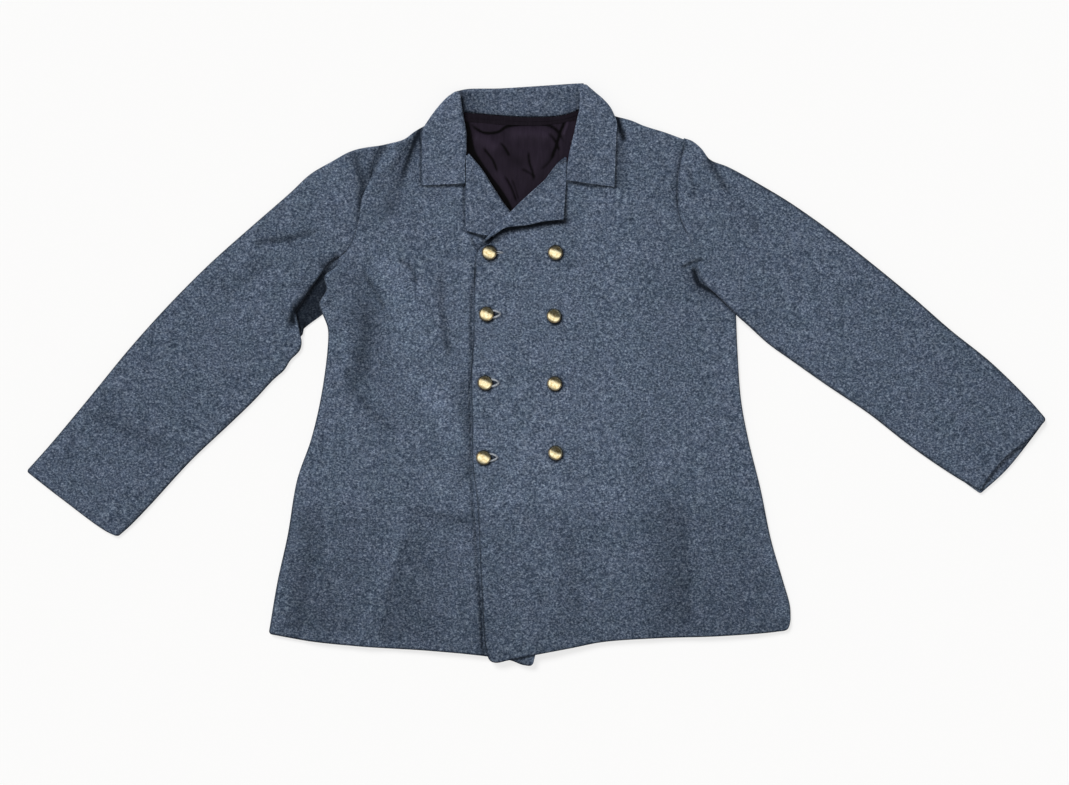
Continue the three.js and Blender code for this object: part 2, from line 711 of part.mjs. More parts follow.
lapel('lapel_left', {
  top: edge([[41.6, 294], [42.8, 295.5]]),
  bottom: edge([[-71, 182], [-53, 192], [-42, 199], [-12, 203], [9, 208], [38, 211]]),
  left: edge([[41.6, 294], [27, 284], [13, 266], [-8, 247], [-31, 225], [-71, 182]]),
  right: edge([[42.8, 295.5], [42.3, 283], [41.8, 264], [38, 211]]),
}, smoothLeft, () => 1, 2.5);

// ---- buttons: hollow-looking domes of brass on a short shank ----

const BUTTON_COLUMNS = ['side', 'row', 'x', 'y', 'tiltX', 'tiltY'];
const BUTTONS = table(BUTTON_COLUMNS, [
  ['right', 1, -63, 166, 3, -3],
  ['right', 2, -67, 82, -2, -2],
  ['right', 3, -69, -12, 0, 2],
  ['right', 4, -71, -114, 2, 0],
  ['left', 1, 27, 166, 2, 2],
  ['left', 2, 25, 79, -6, 5],
  ['left', 3, 26, -13, 2, 0],
  ['left', 4, 27, -108, -5, 6],
]);
// Profile of a button: distance from its axis and height, from the foot of the shank to the crown.
const BUTTON_PROFILE = [
  [0, 0], [2.2, 0], [2.2, 2.2], [8.8, 2.2], [9.8, 2.7], [10, 3.3], [9.6, 4.1], [8.2, 5.6], [5.6, 7.0],
  [2.8, 7.65], [0, 7.8],
];

const SHANK_RADIUS = BUTTON_PROFILE[1][0];

function heightOn(mesh, x, y) {
  const ray = new THREE.Raycaster(new THREE.Vector3(x, y, 100), new THREE.Vector3(0, 0, -1));
  return ray.intersectObject(mesh)[0].point.z;
}

// The lowest place for a button at which all of its tilted foot clears the cloth by the gap.
function seat(mesh, button, tilt) {
  const feet = evenly(0, 2 * Math.PI, BUTTON_TURNS).map((angle) => new THREE.Vector3(
    SHANK_RADIUS * Math.cos(angle), SHANK_RADIUS * Math.sin(angle), 0).applyEuler(tilt));
  return Math.max(...feet.map((foot) => heightOn(mesh, button.x + foot.x, button.y + foot.y) - foot.z)) + GAP;
}

coat.updateMatrixWorld(true);
for (const button of BUTTONS) {
  const outline = BUTTON_PROFILE.map(([radius, height]) => new THREE.Vector2(radius, height));
  const geometry = new THREE.LatheGeometry(outline, BUTTON_TURNS);
  geometry.rotateX(Math.PI / 2);
  const mesh = add(`button_${button.row}_${button.side}`, geometry, material('brass', 0.35, 1));
  mesh.rotation.set(THREE.MathUtils.degToRad(button.tiltX), THREE.MathUtils.degToRad(button.tiltY), 0);
  mesh.position.set(button.x, button.y, seat(frontLeft, button, mesh.rotation));
}

export default coat;
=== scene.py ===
# Double-breasted wool sack coat, laid flat with its front up.
# The object is in metres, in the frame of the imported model. Sizes below are in millimetres,
# and "right" and "left" are the wearer's.
import math

import bmesh
import bpy
import numpy as np
from mathutils import Euler, Matrix, Vector, noise


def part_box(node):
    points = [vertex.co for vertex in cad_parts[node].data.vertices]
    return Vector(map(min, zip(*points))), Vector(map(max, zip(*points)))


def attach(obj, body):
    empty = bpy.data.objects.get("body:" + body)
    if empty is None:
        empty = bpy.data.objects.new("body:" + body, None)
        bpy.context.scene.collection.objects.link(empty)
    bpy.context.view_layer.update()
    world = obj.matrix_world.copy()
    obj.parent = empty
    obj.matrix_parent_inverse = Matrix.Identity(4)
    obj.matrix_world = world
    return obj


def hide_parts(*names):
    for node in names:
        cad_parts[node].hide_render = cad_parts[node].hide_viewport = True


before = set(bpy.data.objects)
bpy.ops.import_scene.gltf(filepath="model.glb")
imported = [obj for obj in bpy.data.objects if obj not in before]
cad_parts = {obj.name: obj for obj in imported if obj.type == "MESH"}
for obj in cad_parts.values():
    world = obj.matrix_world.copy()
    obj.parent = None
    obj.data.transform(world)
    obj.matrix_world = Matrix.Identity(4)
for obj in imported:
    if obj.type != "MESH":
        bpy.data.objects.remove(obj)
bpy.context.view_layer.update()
MM = 0.001


# ---- table, lights and camera ----
# A plain white table top, lit by a bright room that is darker behind the collar and by a soft key
# light from the upper left. The camera looks straight down.

# The width that the view takes in at the height of the cloth, and the place below the camera.
FRAME_WIDTH = 1464.5
VIEW_CENTRE = (-1.4, -25.3)
CAMERA_HEIGHT = 3000
CLOTH_HEIGHT = 6
SENSOR = 36
TABLE_DROP = 0.3
# Where the room's brightness changes, from the hem's side to the collar's, and how bright it is there.
ROOM_TONES = ((0.04, 0.25), (0.24, 1), (0.52, 1), (0.70, 0.06))


def set_inputs(node, values):
    """The node, with these values on its own inputs."""
    for socket, value in values.items():
        node.inputs[socket].default_value = value
    return node


def new_material(name, values):
    """A material whose shader has these values, and what is needed to add to it."""
    material = bpy.data.materials.new(name)
    material.use_nodes = True
    nodes, links = material.node_tree.nodes, material.node_tree.links
    return material, nodes, links, set_inputs(nodes["Principled BSDF"], values)


def tone_ramp(nodes, stops):
    """A colour ramp through its stops of (position, colour)."""
    node = nodes.new("ShaderNodeValToRGB")
    elements = node.color_ramp.elements
    while len(elements) < len(stops):
        elements.new(0.5)
    for element, (position, colour) in zip(elements, stops):
        element.position = position
        element.color = (*colour, 1)
    return node


table_mesh = bmesh.new()
bmesh.ops.create_grid(table_mesh, x_segments=1, y_segments=1, size=15)
bmesh.ops.translate(table_mesh, verts=table_mesh.verts, vec=(0, 0, -TABLE_DROP * MM))
table = bpy.data.objects.new("table_top", bpy.data.meshes.new("table_top"))
table_mesh.to_mesh(table.data)
table_mesh.free()
bpy.context.collection.objects.link(table)

table_paint = new_material("white_table", {
    "Base Color": (0.32, 0.32, 0.32, 1), "Roughness": 0.9, "Specular IOR Level": 0.1,
    "Emission Color": (1, 1, 1, 1), "Emission Strength": 0.675,
})[0]
table.data.materials.append(table_paint)

room = bpy.data.worlds.new("room")
bpy.context.scene.world = room
room.use_nodes = True
room_nodes, room_links = room.node_tree.nodes, room.node_tree.links
room_back = room_nodes["Background"]
room_direction = room_nodes.new("ShaderNodeTexCoord")
room_turned = set_inputs(room_nodes.new("ShaderNodeMapping"), {"Rotation": (0, 0, math.radians(24))})
room_split = room_nodes.new("ShaderNodeSeparateXYZ")
room_span = set_inputs(room_nodes.new("ShaderNodeMapRange"), {"From Min": -1})
room_ramp = tone_ramp(room_nodes, [(at, (tone, 0.98 * tone, 0.95 * tone)) for at, tone in ROOM_TONES])
room_ray = room_nodes.new("ShaderNodeLightPath")
room_shine = set_inputs(room_nodes.new("ShaderNodeMapRange"), {"To Min": 0.74, "To Max": 1.3})
room_links.new(room_direction.outputs["Generated"], room_turned.inputs["Vector"])
room_links.new(room_turned.outputs["Vector"], room_split.inputs[0])
room_links.new(room_split.outputs["Y"], room_span.inputs["Value"])
room_links.new(room_span.outputs["Result"], room_ramp.inputs[0])
room_links.new(room_ramp.outputs["Color"], room_back.inputs["Color"])
room_links.new(room_ray.outputs["Is Glossy Ray"], room_shine.inputs["Value"])
room_links.new(room_shine.outputs["Result"], room_back.inputs["Strength"])

key = bpy.data.objects.new("key_light", bpy.data.lights.new("key_light", "SUN"))
key.data.energy = 2.1
key.data.angle = math.radians(24)
key.rotation_euler = Euler((math.radians(-34), math.radians(-30), 0))
key.visible_glossy = False
bpy.context.collection.objects.link(key)

camera = bpy.data.objects.new("camera", bpy.data.cameras.new("camera"))
camera.data.sensor_width = SENSOR
camera.data.lens = SENSOR * (CAMERA_HEIGHT - CLOTH_HEIGHT) / FRAME_WIDTH
camera.location = (VIEW_CENTRE[0] * MM, VIEW_CENTRE[1] * MM, CAMERA_HEIGHT * MM)
camera.data.clip_end = 20
bpy.context.collection.objects.link(camera)
bpy.context.scene.camera = camera
bpy.context.scene.view_settings.view_transform = "Standard"


# ---- back ----
# The back of the coat is one piece of heavy fulled wool, cut with a curved neck and armholes.
# It lies flat, but is lifted where the collar's fall is tucked under it.

WOOL = 2.4       # height that a layer of the wool takes up
WALL = 2.0       # and the wall it is given
SATIN = 1.0      # height that the lining takes up
GAP = 0.35       # between layers
LIFT = WOOL + GAP
LOOSE = 0.8      # more room under the collar and the lapels
RIM_SHADE_WIDTH = 1.8        # width of the painted shade along a sewn edge
RIM_SHADE = 0.6    # and how dark it is painted
CORNER = 4.5     # how far a lower corner is rounded

SIDE_RIGHT = [
    (-292, 82), (-285, 63), (-285, 38), (-294, -30), (-308, -90), (-327, -145), (-340, -221), (-354, -285),
    (-366, -356),
]
SIDE_LEFT = [
    (275, 84), (277, 33), (282, -36), (292, -90), (309, -159), (323, -227), (339, -282), (349, -318),
    (350, -338),
]
BACK_TOP = [
    (-210, 310), (-180, 317), (-164, 326), (-145, 337), (-114, 352), (-90, 351), (-49, 347), (6, 347),
    (47, 349), (77, 357), (102, 348), (138, 338), (179, 325), (203, 314),
]
BACK_ARMHOLE_RIGHT = [
    (-210, 310), (-224, 273), (-235, 241), (-242, 197), (-252, 153), (-268, 113), (-292, 82),
]
BACK_ARMHOLE_LEFT = [(203, 314), (194, 279), (191, 241), (199, 204), (217, 163), (240, 122), (275, 84)]
BACK_HEM = [(-366, -356), (-227, -370), (-90, -379), (0, -380), (90, -366), (251, -357), (350, -338)]
FALL_EDGE = {"x": -14, "y": 319, "curve": 0.0017}


def ease(low, high, value):
    part = np.clip((value - low) / (high - low), 0, 1)
    return part * part * (3 - 2 * part)


def smooth_run(points, steps=12):
    """A smooth line through points, as many points close together."""
    spots = np.array(points, float)
    spots = np.vstack([2 * spots[0] - spots[1], spots, 2 * spots[-1] - spots[-2]])
    part = np.linspace(0, 1, steps, endpoint=False)[:, None]
    runs = []
    for a, b, c, d in zip(spots, spots[1:], spots[2:], spots[3:]):
        ab, bc, cd = (np.linalg.norm(end - start) ** 0.5 for start, end in ((a, b), (b, c), (c, d)))
        leave = bc * ((b - a) / ab - (c - a) / (ab + bc) + (c - b) / bc)
        reach = bc * ((c - b) / bc - (d - b) / (bc + cd) + (d - c) / cd)
        runs.append(b + leave * part + (3 * (c - b) - 2 * leave - reach) * part ** 2
                    + (2 * (b - c) + leave + reach) * part ** 3)
    return np.vstack([*runs, spots[-2:-1]])


def edge(*runs):
    """A cut edge of one or more smooth runs with corners between them, read by the part of its length."""
    line = np.vstack([smooth_run(run)[min(index, 1):] for index, run in enumerate(runs)])
    far = np.concatenate([[0], np.cumsum(np.hypot(*np.diff(line, axis=0).T))])

    def at(part):
        reach = np.clip(part, 0, 1) * far[-1]
        return np.stack([np.interp(reach, far, line[:, 0]), np.interp(reach, far, line[:, 1])])

    at.length = far[-1]
    return at


def cell_lines(length, cell):
    """Where the lines of a piece's grid lie along one side of it: close together near both its ends. On a
    side shorter than twice the last near line they run back past each other in its middle."""
    near = np.array([0, 0.7, 1.6, 3.0, 4.8, 7.2])
    middle = np.linspace(near[-1], length - near[-1], max(3, round((length - 2 * near[-1]) / cell)))[1:-1]
    return np.concatenate([near, middle, (length - near)[::-1]]) / length


def quarter_round(away, roll):
    """Height, from 0 to 1, of an edge that is rounded over the width of its roll."""
    return np.sqrt(np.clip(1 - (1 - np.clip(away / roll, 0, 1)) ** 2, 0, 1))


def unevenness(x, y, size, seed):
    """Soft humps and hollows of about that size, from -1 to 1."""
    return 1.6 * np.array([noise.noise(Vector((a / size, b / size, seed))) for a, b in zip(x, y)])


def distance_to(line, x, y):
    """Distance to a line of points, the part of its length at the nearest place, and the side of it."""
    line = np.asarray(line, float)
    starts, ends = line[:-1], line[1:]
    lengths = np.hypot(*(ends - starts).T)
    far = np.concatenate([[0], np.cumsum(lengths)])
    best, where, side = np.full(x.shape, 1e9), np.zeros(x.shape), np.zeros(x.shape)
    for start, end, length, before in zip(starts, ends, lengths, far):
        across, up = (end - start) / length
        reach = np.clip((x - start[0]) * across + (y - start[1]) * up, 0, length)
        dx, dy = x - start[0] - reach * across, y - start[1] - reach * up
        away = np.hypot(dx, dy)
        nearer = away < best
        best = np.where(nearer, away, best)
        where = np.where(nearer, (before + reach) / far[-1], where)
        side = np.where(nearer, np.sign(across * dy - up * dx), side)
    return best, where, side


def unit_grid(columns, rows):
    """A flat grid of cells, and where its points lie, from 0 to 1 across it and up it."""
    mesh = bmesh.new()
    bmesh.ops.create_grid(mesh, x_segments=columns, y_segments=rows, size=0.5)
    return mesh, np.array([vert.co[:2] for vert in mesh.verts]) + 0.5


def place_points(mesh, x, y, z):
    for vert, place in zip(mesh.verts, np.stack([x, y, z], axis=1) * MM):
        vert.co = place


def as_object(name, mesh, material, wall=None):
    """The finished piece, from its bmesh: smooth, with its material, riding on the coat. A sheet of cloth
    is given its wall, behind its faces, and has the corners of its cut edges softened."""
    data = bpy.data.meshes.new(name)
    mesh.to_mesh(data)
    mesh.free()
    data.polygons.foreach_set("use_smooth", [True] * len(data.polygons))
    data.materials.append(material)
    piece = bpy.data.objects.new(name, data)
    bpy.context.collection.objects.link(piece)
    if wall:
        thickness = piece.modifiers.new("thickness", "SOLIDIFY")
        thickness.thickness = wall * MM
        thickness.offset = -1
        softening = piece.modifiers.new("softening", "BEVEL")
        softening.limit_method = "ANGLE"
        softening.angle_limit = math.radians(55)
        softening.width = 0.28 * wall * MM
        softening.segments = 2
    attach(piece, "root")
    return piece


def cloth_piece(name, top, bottom, left, right, face, level, wide, cell, material, rolls=(), wall=WALL,
                shade=None, shade_edges=(), corner=0):
    """One cut piece: a grid laid out between its four edges, lifted to `face`, rounded down to `level` along
    its rolls of (side, width, amount), and given its wall. It carries its painted shade from `shade`, with
    more painted shade along its `shade_edges`, and its two lower corners are rounded. The wall is below
    `face`, or above it where the left and right edges are the other way round, as on the left sleeve and the
    right lapel."""
    across, down = cell_lines(wide, cell), cell_lines(left.length, cell)
    mesh, spots = unit_grid(len(across) - 1, len(down) - 1)
    u = across[np.rint(spots[:, 0] * (len(across) - 1)).astype(int)]
    v = down[np.rint((1 - spots[:, 1]) * (len(down) - 1)).astype(int)]
    if corner:
        # The square of cells in each lower corner is pressed into a quarter of a disc.
        in_u, in_v = np.minimum(u, 1 - u) * wide, (1 - v) * left.length
        near_u, near_v = np.clip(1 - in_u / corner, 0, 1), np.clip(1 - in_v / corner, 0, 1)
        in_u = in_u + corner * near_u * (1 - np.sqrt(1 - near_v ** 2 / 2))
        in_v = in_v + corner * near_v * (1 - np.sqrt(1 - near_u ** 2 / 2))
        u, v = np.where(u < 0.5, in_u / wide, 1 - in_u / wide), 1 - in_v / left.length
    meeting = {(a, b): (bottom if b else top)(np.array([a]))[:, 0][:, None] for a in (0, 1) for b in (0, 1)}
    x, y = ((1 - v) * top(u) + v * bottom(u) + (1 - u) * left(v) + u * right(v)
            - (1 - u) * (1 - v) * meeting[0, 0] - u * (1 - v) * meeting[1, 0]
            - (1 - u) * v * meeting[0, 1] - u * v * meeting[1, 1])
    inside = {
        "left": u * wide, "right": (1 - u) * wide, "top": v * left.length, "bottom": (1 - v) * left.length,
    }
    rise = np.ones(x.shape)
    for side, roll, amount in rolls:
        share = amount(u if side == "top" else v)
        rise = rise * (1 + share * (quarter_round(inside[side], roll) - 1))
    low = level(x, y)
    place_points(mesh, x, y, low + (face(x, y, u, v) - low) * rise)
    if shade is not None:
        shade_layer = mesh.verts.layers.float.new("painted_shade")
        # Painted shade along the listed edges, darkest at the edge itself, where the rounded cloth turns away
        # from the light. It fades out towards the top edge.
        rim = ease(0.03, 0.2, v) * sum(RIM_SHADE * np.exp(-(inside[side] / RIM_SHADE_WIDTH) ** 2) for side in shade_edges)
        for vert, value in zip(mesh.verts, np.minimum(shade(x, y) + rim, 1)):
            vert[shade_layer] = value
    return as_object(name, mesh, material, wall)


def back_face(x, y):
    fall_edge = FALL_EDGE["y"] + FALL_EDGE["curve"] * (x - FALL_EDGE["x"]) ** 2
    return WALL + LIFT * ease(fall_edge - 70, fall_edge - 14, y)


def flat_on_table(x, y):
    return np.zeros(x.shape)


def full(part):
    return np.ones(part.shape)


def wool_cloth(name, deep, mid, light, cast):
    """Heathered wool: deep and light fibres mixed into the mid tone, with a short matt nap. `cast` is how far
    its hue drifts from place to place. The `painted_shade` attribute mixes it towards near black: painted
    shade in folds and hollows, under edges and around the buttons."""
    material, nodes, links, shader = new_material(name, {
        "Roughness": 0.95, "Specular IOR Level": 0.05, "Sheen Weight": 0.06, "Sheen Roughness": 0.5,
        "Sheen Tint": (0.75, 0.85, 1, 1),
    })
    place = nodes.new("ShaderNodeTexCoord")

    def grain(size, detail, roughness, stretch=(1, 1, 1), turn=0):
        mapping = set_inputs(nodes.new("ShaderNodeMapping"), {"Scale": stretch, "Rotation": (0, 0, turn)})
        texture = set_inputs(nodes.new("ShaderNodeTexNoise"), {
            "Scale": 1 / (size * MM), "Detail": detail, "Roughness": roughness,
        })
        links.new(place.outputs["Object"], mapping.inputs["Vector"])
        links.new(mapping.outputs["Vector"], texture.inputs["Vector"])
        return texture.outputs["Fac"]

    def ramp(value, *stops):
        node = tone_ramp(nodes, stops)
        links.new(value, node.inputs["Fac"])
        return node.outputs["Color"]

    def blended(kind, amount, first, second):
        node = nodes.new("ShaderNodeMix")
        node.data_type = "RGBA"
        node.blend_type = kind
        for socket, value in ((node.inputs[0], amount), (node.inputs[6], first), (node.inputs[7], second)):
            if isinstance(value, bpy.types.NodeSocket):
                links.new(value, socket)
            else:
                socket.default_value = value
        return node.outputs[2]

    fibres = ramp(grain(2.8, 2, 0.75), (0.34, deep), (0.5, mid), (0.67, light))
    threads = ramp(grain(1.6, 1, 0.6, (0.5, 1.6, 1), 0.6), (0.38, (0.62, 0.64, 0.68)), (0.5, (1, 1, 1)),
                   (0.64, (1.42, 1.39, 1.34)))
    tufts = ramp(grain(9, 2, 0.65), (0.32, (0.78, 0.78, 0.78)), (0.68, (1.22, 1.22, 1.22)))
    drift = ramp(grain(30, 3, 0.6), (0.32, (0.94 - cast, 0.94 + cast, 0.94)),
                 (0.68, (1.06 + cast, 1.06 - cast, 1.06)))
    colour = blended("MULTIPLY", 0.9, fibres, threads)
    colour = blended("MULTIPLY", 1.0, colour, tufts)
    colour = blended("MULTIPLY", 1.0, colour, drift)
    # Painted shade: the attribute mixes the colour towards near black.
    painted_shade = nodes.new("ShaderNodeAttribute")
    painted_shade.attribute_name = "painted_shade"
    painted_dark = nodes.new("ShaderNodeMath")
    painted_dark.operation = "MULTIPLY"
    painted_dark.inputs[1].default_value = 0.95
    links.new(painted_shade.outputs["Fac"], painted_dark.inputs[0])
    colour = blended("MIX", painted_dark.outputs[0], colour, (0.004, 0.006, 0.010, 1))
    links.new(colour, shader.inputs["Base Color"])

    bump = set_inputs(nodes.new("ShaderNodeBump"), {"Strength": 0.55, "Distance": 0.5 * MM})
    links.new(grain(1.7, 3, 0.7), bump.inputs["Height"])
    links.new(bump.outputs["Normal"], shader.inputs["Normal"])
    return material


coat_wool = wool_cloth(
    "coat_wool", (0.042, 0.0605, 0.0985), (0.106, 0.142, 0.209), (0.262, 0.321, 0.417), 0.012)

back_cloth = cloth_piece(
    "back_cloth", edge(BACK_TOP), edge(BACK_HEM), edge(BACK_ARMHOLE_RIGHT, SIDE_RIGHT),
    edge(BACK_ARMHOLE_LEFT, SIDE_LEFT), lambda x, y, u, v: back_face(x, y), flat_on_table, 620, 6, coat_wool,
    corner=CORNER)
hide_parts("back")


# ---- fronts ----
# Two fronts of the same wool. The left front laps over the right one down the middle, and both are
# joined to the back along the shoulders and sides, where they roll over.

SIDE_ROLL = 7
FRONT_ROLL = 3.5
EDGE_AIR = 1.0
BODY_AIR = 3.0
# The body's outline, roughly: half its width at the armpits and the shoulders, and how the skirt flares.
MIDDLE_X = -8
ARMPIT_Y = 82
SHOULDER_Y = 320
HALF_CHEST = 283
HALF_SHOULDER = 205
FLARE = 0.19
NECK = {"x": -20, "y": 290, "wide": 122, "high": 112}

SHOULDER_RIGHT = [(-210, 314), (-180, 322), (-166, 332), (-151, 340.5), (-117, 357)]
ARMHOLE_RIGHT = [
    (-210, 314), (-220, 296), (-225, 270), (-238, 241), (-242, 216), (-247, 195), (-254, 178), (-262, 166),
]
ARMPIT_RIGHT = [(-262, 166), (-271, 158), (-275, 147), (-290, 134), (-287, 116), (-297, 97), (-292, 82)]
NECK_RIGHT = [
    (-117, 357), (-106, 334), (-99, 307), (-79, 279), (-60, 251), (-40, 222), (-14, 194), (17, 171),
]
HIDDEN_EDGE_RIGHT = [(17, 171), (38, 162), (40, 60), (31, -77), (18, -227), (5, -360), (-4, -400)]
HEM_RIGHT = [
    (-366, -356), (-309, -366), (-227, -374), (-145, -379), (-71, -386), (-34, -392), (-18, -398), (-4, -400),
]
SHOULDER_LEFT = [(77, 362), (110, 353), (131, 347.5), (149, 340), (177, 331.5), (203, 322)]
ARMHOLE_LEFT = [
    (203, 322), (201, 304), (197, 286), (194, 263), (194, 238), (197, 218), (204, 200), (214, 184),
]
ARMPIT_LEFT = [(214, 184), (225, 162), (235, 140), (245, 121), (258, 101), (275, 84)]
NECK_LEFT = [(77, 362), (64, 334), (54, 307), (38, 283), (19, 263), (-2, 244), (-27, 222), (-64, 179)]
EDGE_LEFT = [
    (-64, 179), (-79, 170), (-84, 110), (-85, 58), (-88, -1), (-87, -63), (-86, -125), (-80, -173),
    (-76, -249), (-72, -329), (-68, -378), (-63, -393),
]
HEM_LEFT = [
    (-63, -393), (-53, -395), (-39, -392), (1, -384), (50, -375), (92, -367), (161, -362), (251, -359),
    (331, -353), (345, -350), (350, -338),
]

BUTTON_COLUMNS = ("side", "row", "x", "y", "tilt_x", "tilt_y")
BUTTONS = [
    ("right", 1, -63, 166, 3, -3),
    ("right", 2, -67, 82, -2, -2),
    ("right", 3, -69, -12, 0, 2),
    ("right", 4, -71, -114, 2, 0),
    ("left", 1, 27, 166, 2, 2),
    ("left", 2, 25, 79, -10, 8),
    ("left", 3, 26, -13, 2, 0),
    ("left", 4, 27, -108, -9, 9),
]

# Folds and creases: the line each follows, its width to the left and to the right of that line, its height,
# and how much painted shade it gets (a value below zero paints light). A pair of values runs from the line's
# start to its end.
FOLD_COLUMNS = ("line", "left", "right", "height", "dark")
BODY_FOLDS = [
    # right shoulder: a deep fold beside the collar, the pushed-up cloth next to it, and the sleeve head's dip
    ([(-150, 351), (-158, 333), (-169, 307), (-179, 284), (-186, 262), (-192, 238), (-205, 200)],
     (7, 10), (7, 15), (-5, -2.5), (0.32, 0.28)),
    ([(-146, 359), (-157, 337), (-168, 314), (-177, 288), (-186, 260)], (3.4, 5), (3.4, 5), 0, (0.72, 0.26)),
    ([(-180, 322), (-186, 314), (-194, 304)], 3, 3, -0.8, 0.36),
    ([(-240, 301), (-221, 306), (-199, 311)], 5, 8, 0, 0.16),
    ([(-169, 332), (-194, 300), (-212, 274), (-227, 241)], 10, 12, 5.2, -0.08),
    ([(-197, 323), (-212, 303), (-221, 282), (-225, 260)], (5, 3), (12, 5), -2, (0.2, 0.55)),
    # below the right armpit: a long hollow with a slanting tail, and the ridges on both sides of it
    ([(-272, 151), (-287, 127), (-290, 92)], 16, 12, 4.4, 0),
    ([(-247, 158), (-238, 112), (-232, 67), (-236, 19), (-258, -26)], 24, 19, -2.2, 0.2),
    ([(-228, 104), (-232, 58), (-242, 11), (-262, -33)], 15, 15, -1.4, 0.19),
    ([(-262, -12), (-243, -30), (-216, -58), (-186, -82)], 7, 8, -1.4, 0.24),
    ([(-243, 146), (-222, 118), (-203, 82)], 4, 3, -1.6, 0.34),
    ([(-273, 59), (-256, 40), (-261, 11), (-276, -19)], 8, 8, 1.8, -0.16),
    ([(-227, 170), (-188, 123), (-166, 60), (-164, 3)], 24, 24, 2.4, -0.22),
    ([(-190, 10), (-150, -26), (-122, -55), (-105, -88), (-95, -132)], 12, 12, 2.0, -0.22),
    ([(-191, 158), (-171, 144), (-160, 119)], 2.8, 2.8, -1.4, 0.42),
    ([(-129, 153), (-128, 101), (-125, 67), (-119, 40), (-112, 8)], 5.5, 5.5, -1.6, 0.38),
    # a dip with painted shadow in front of the left front's edge
    ([(-80, 164), (-86, 115), (-88, 60), (-89, 3)], 2.2, (2.6, 3.2), -1.0, (0.5, 0.62)),
    ([(-88, 30), (-90, -19), (-90, -77), (-88, -134)], 1.8, (2.2, 2.0), -1.0, 0.64),
    ([(-90, 25), (-95, -25), (-94, -79), (-91, -137)], 4, 4, 0, 0.06),
    ([(-89, -104), (-86, -173), (-81, -241), (-77, -296)], 2.2, (3.2, 2.6), -1.0, (0.55, 0.35)),
    ([(-80, -262), (-75, -323), (-71, -378), (-68, -397)], 2.2, 2.8, -1.0, (0.45, 0.7)),
    ([(-95, 19), (-97, -36), (-94, -90), (-95, -145), (-106, -173)], 5, 13, -1.4, 0.24),
    # lower right front, and the corners of the hem, painted lighter
    ([(-306, -165), (-308, -214), (-314, -269), (-321, -323), (-326, -392)], 16, 13, -1.6, 0.15),
    ([(-277, -255), (-286, -323), (-291, -392)], 14, 14, -0.9, 0.08),
    ([(-131, -221), (-147, -296), (-161, -392)], 36, 34, -0.6, 0.05),
    ([(-172, -173), (-197, -248), (-220, -310), (-243, -397)], 16, 18, 2.4, -0.12),
    ([(-161, -203), (-183, -258), (-195, -299), (-212, -389)], 34, 4, -2.0, 0.07),
    ([(-345, -248), (-353, -303), (-361, -364)], 12, 12, 0, -0.18),
    ([(-361, -350), (-290, -360), (-227, -367), (-120, -375)], 8, 8, 0, -0.14),
    ([(320, -230), (335, -290), (344, -345)], 10, 12, 0, -0.14),
    ([(-177, -181), (-145, -193), (-114, -200), (-79, -197)], 9, 9, -1.2, 0.18),
    # left front
    ([(108, 364), (113, 345), (117, 332), (123, 315)], 4.4, 4, -4.2, 0.95),
    ([(116, 326), (120, 286), (117, 245)], 8, 11, -2.0, 0.28),
    ([(195, -145), (205, -241), (209, -364)], 9, 34, -2.2, 0.18),
    ([(142, -42), (143, -118), (140, -186)], 13, 13, -1.0, 0.12),
    ([(54, -200), (55, -378)], 14, 14, -0.8, 0.08),
    ([(150, 300), (140, 179), (158, 60)], 40, 40, 1.0, 0),
    ([(60, -151), (80, -351)], 30, 30, 1.0, 0),
    # under the left sleeve
    ([(198, 145), (217, 154), (234, 158)], 2.8, 2.8, -1.4, 0.6),
    ([(209, 326), (200.5, 299), (195.5, 277), (194, 252), (197, 214)], 2.6, 3, -1.4, (0.5, 0.3)),
    ([(214, 153), (220, 138), (225, 125), (234, 118), (243, 111), (256, 100), (277, 81)],
     2.8, (4.4, 3), -2.4, (0.8, 0.6)),
    ([(214, 153), (223, 123), (242, 96)], 10, 12, -0.8, 0.28),
    # painted shadows close under the edges of the collar and the lapels
    ([(-158, 334), (-156, 293), (-157, 251)], 2.2, 2.6, -0.3, 0.5),
    ([(-164, 257), (-131, 257), (-90, 259)], 2.2, 2.2, -0.3, 0.62),
    ([(113, 258), (88, 256), (38, 265)], 2.2, 2.2, -0.3, 0.62),
    ([(113, 337), (112, 293), (109, 248)], 2.4, 2.2, -0.3, 0.16),
    ([(-97, 271), (-97, 232), (-98, 189)], 2.2, 2.4, -0.3, 0.5),
    ([(-99, 197), (-84, 191), (-61, 184)], 2.2, 2.2, -0.3, 0.75),
    ([(39, 269), (42, 238), (40, 206)], 2.4, 2.2, -0.3, 0.45),
    ([(-82, 171), (-64, 184), (-49, 194), (-25, 200), (-2, 203), (20, 206), (55, 212)],
     4.2, (4.5, 3.4), -0.4, 1.2),
    ([(-90, 189), (-84, 179), (-77, 167)], 2.6, 2.6, -1.2, 0.45),
]


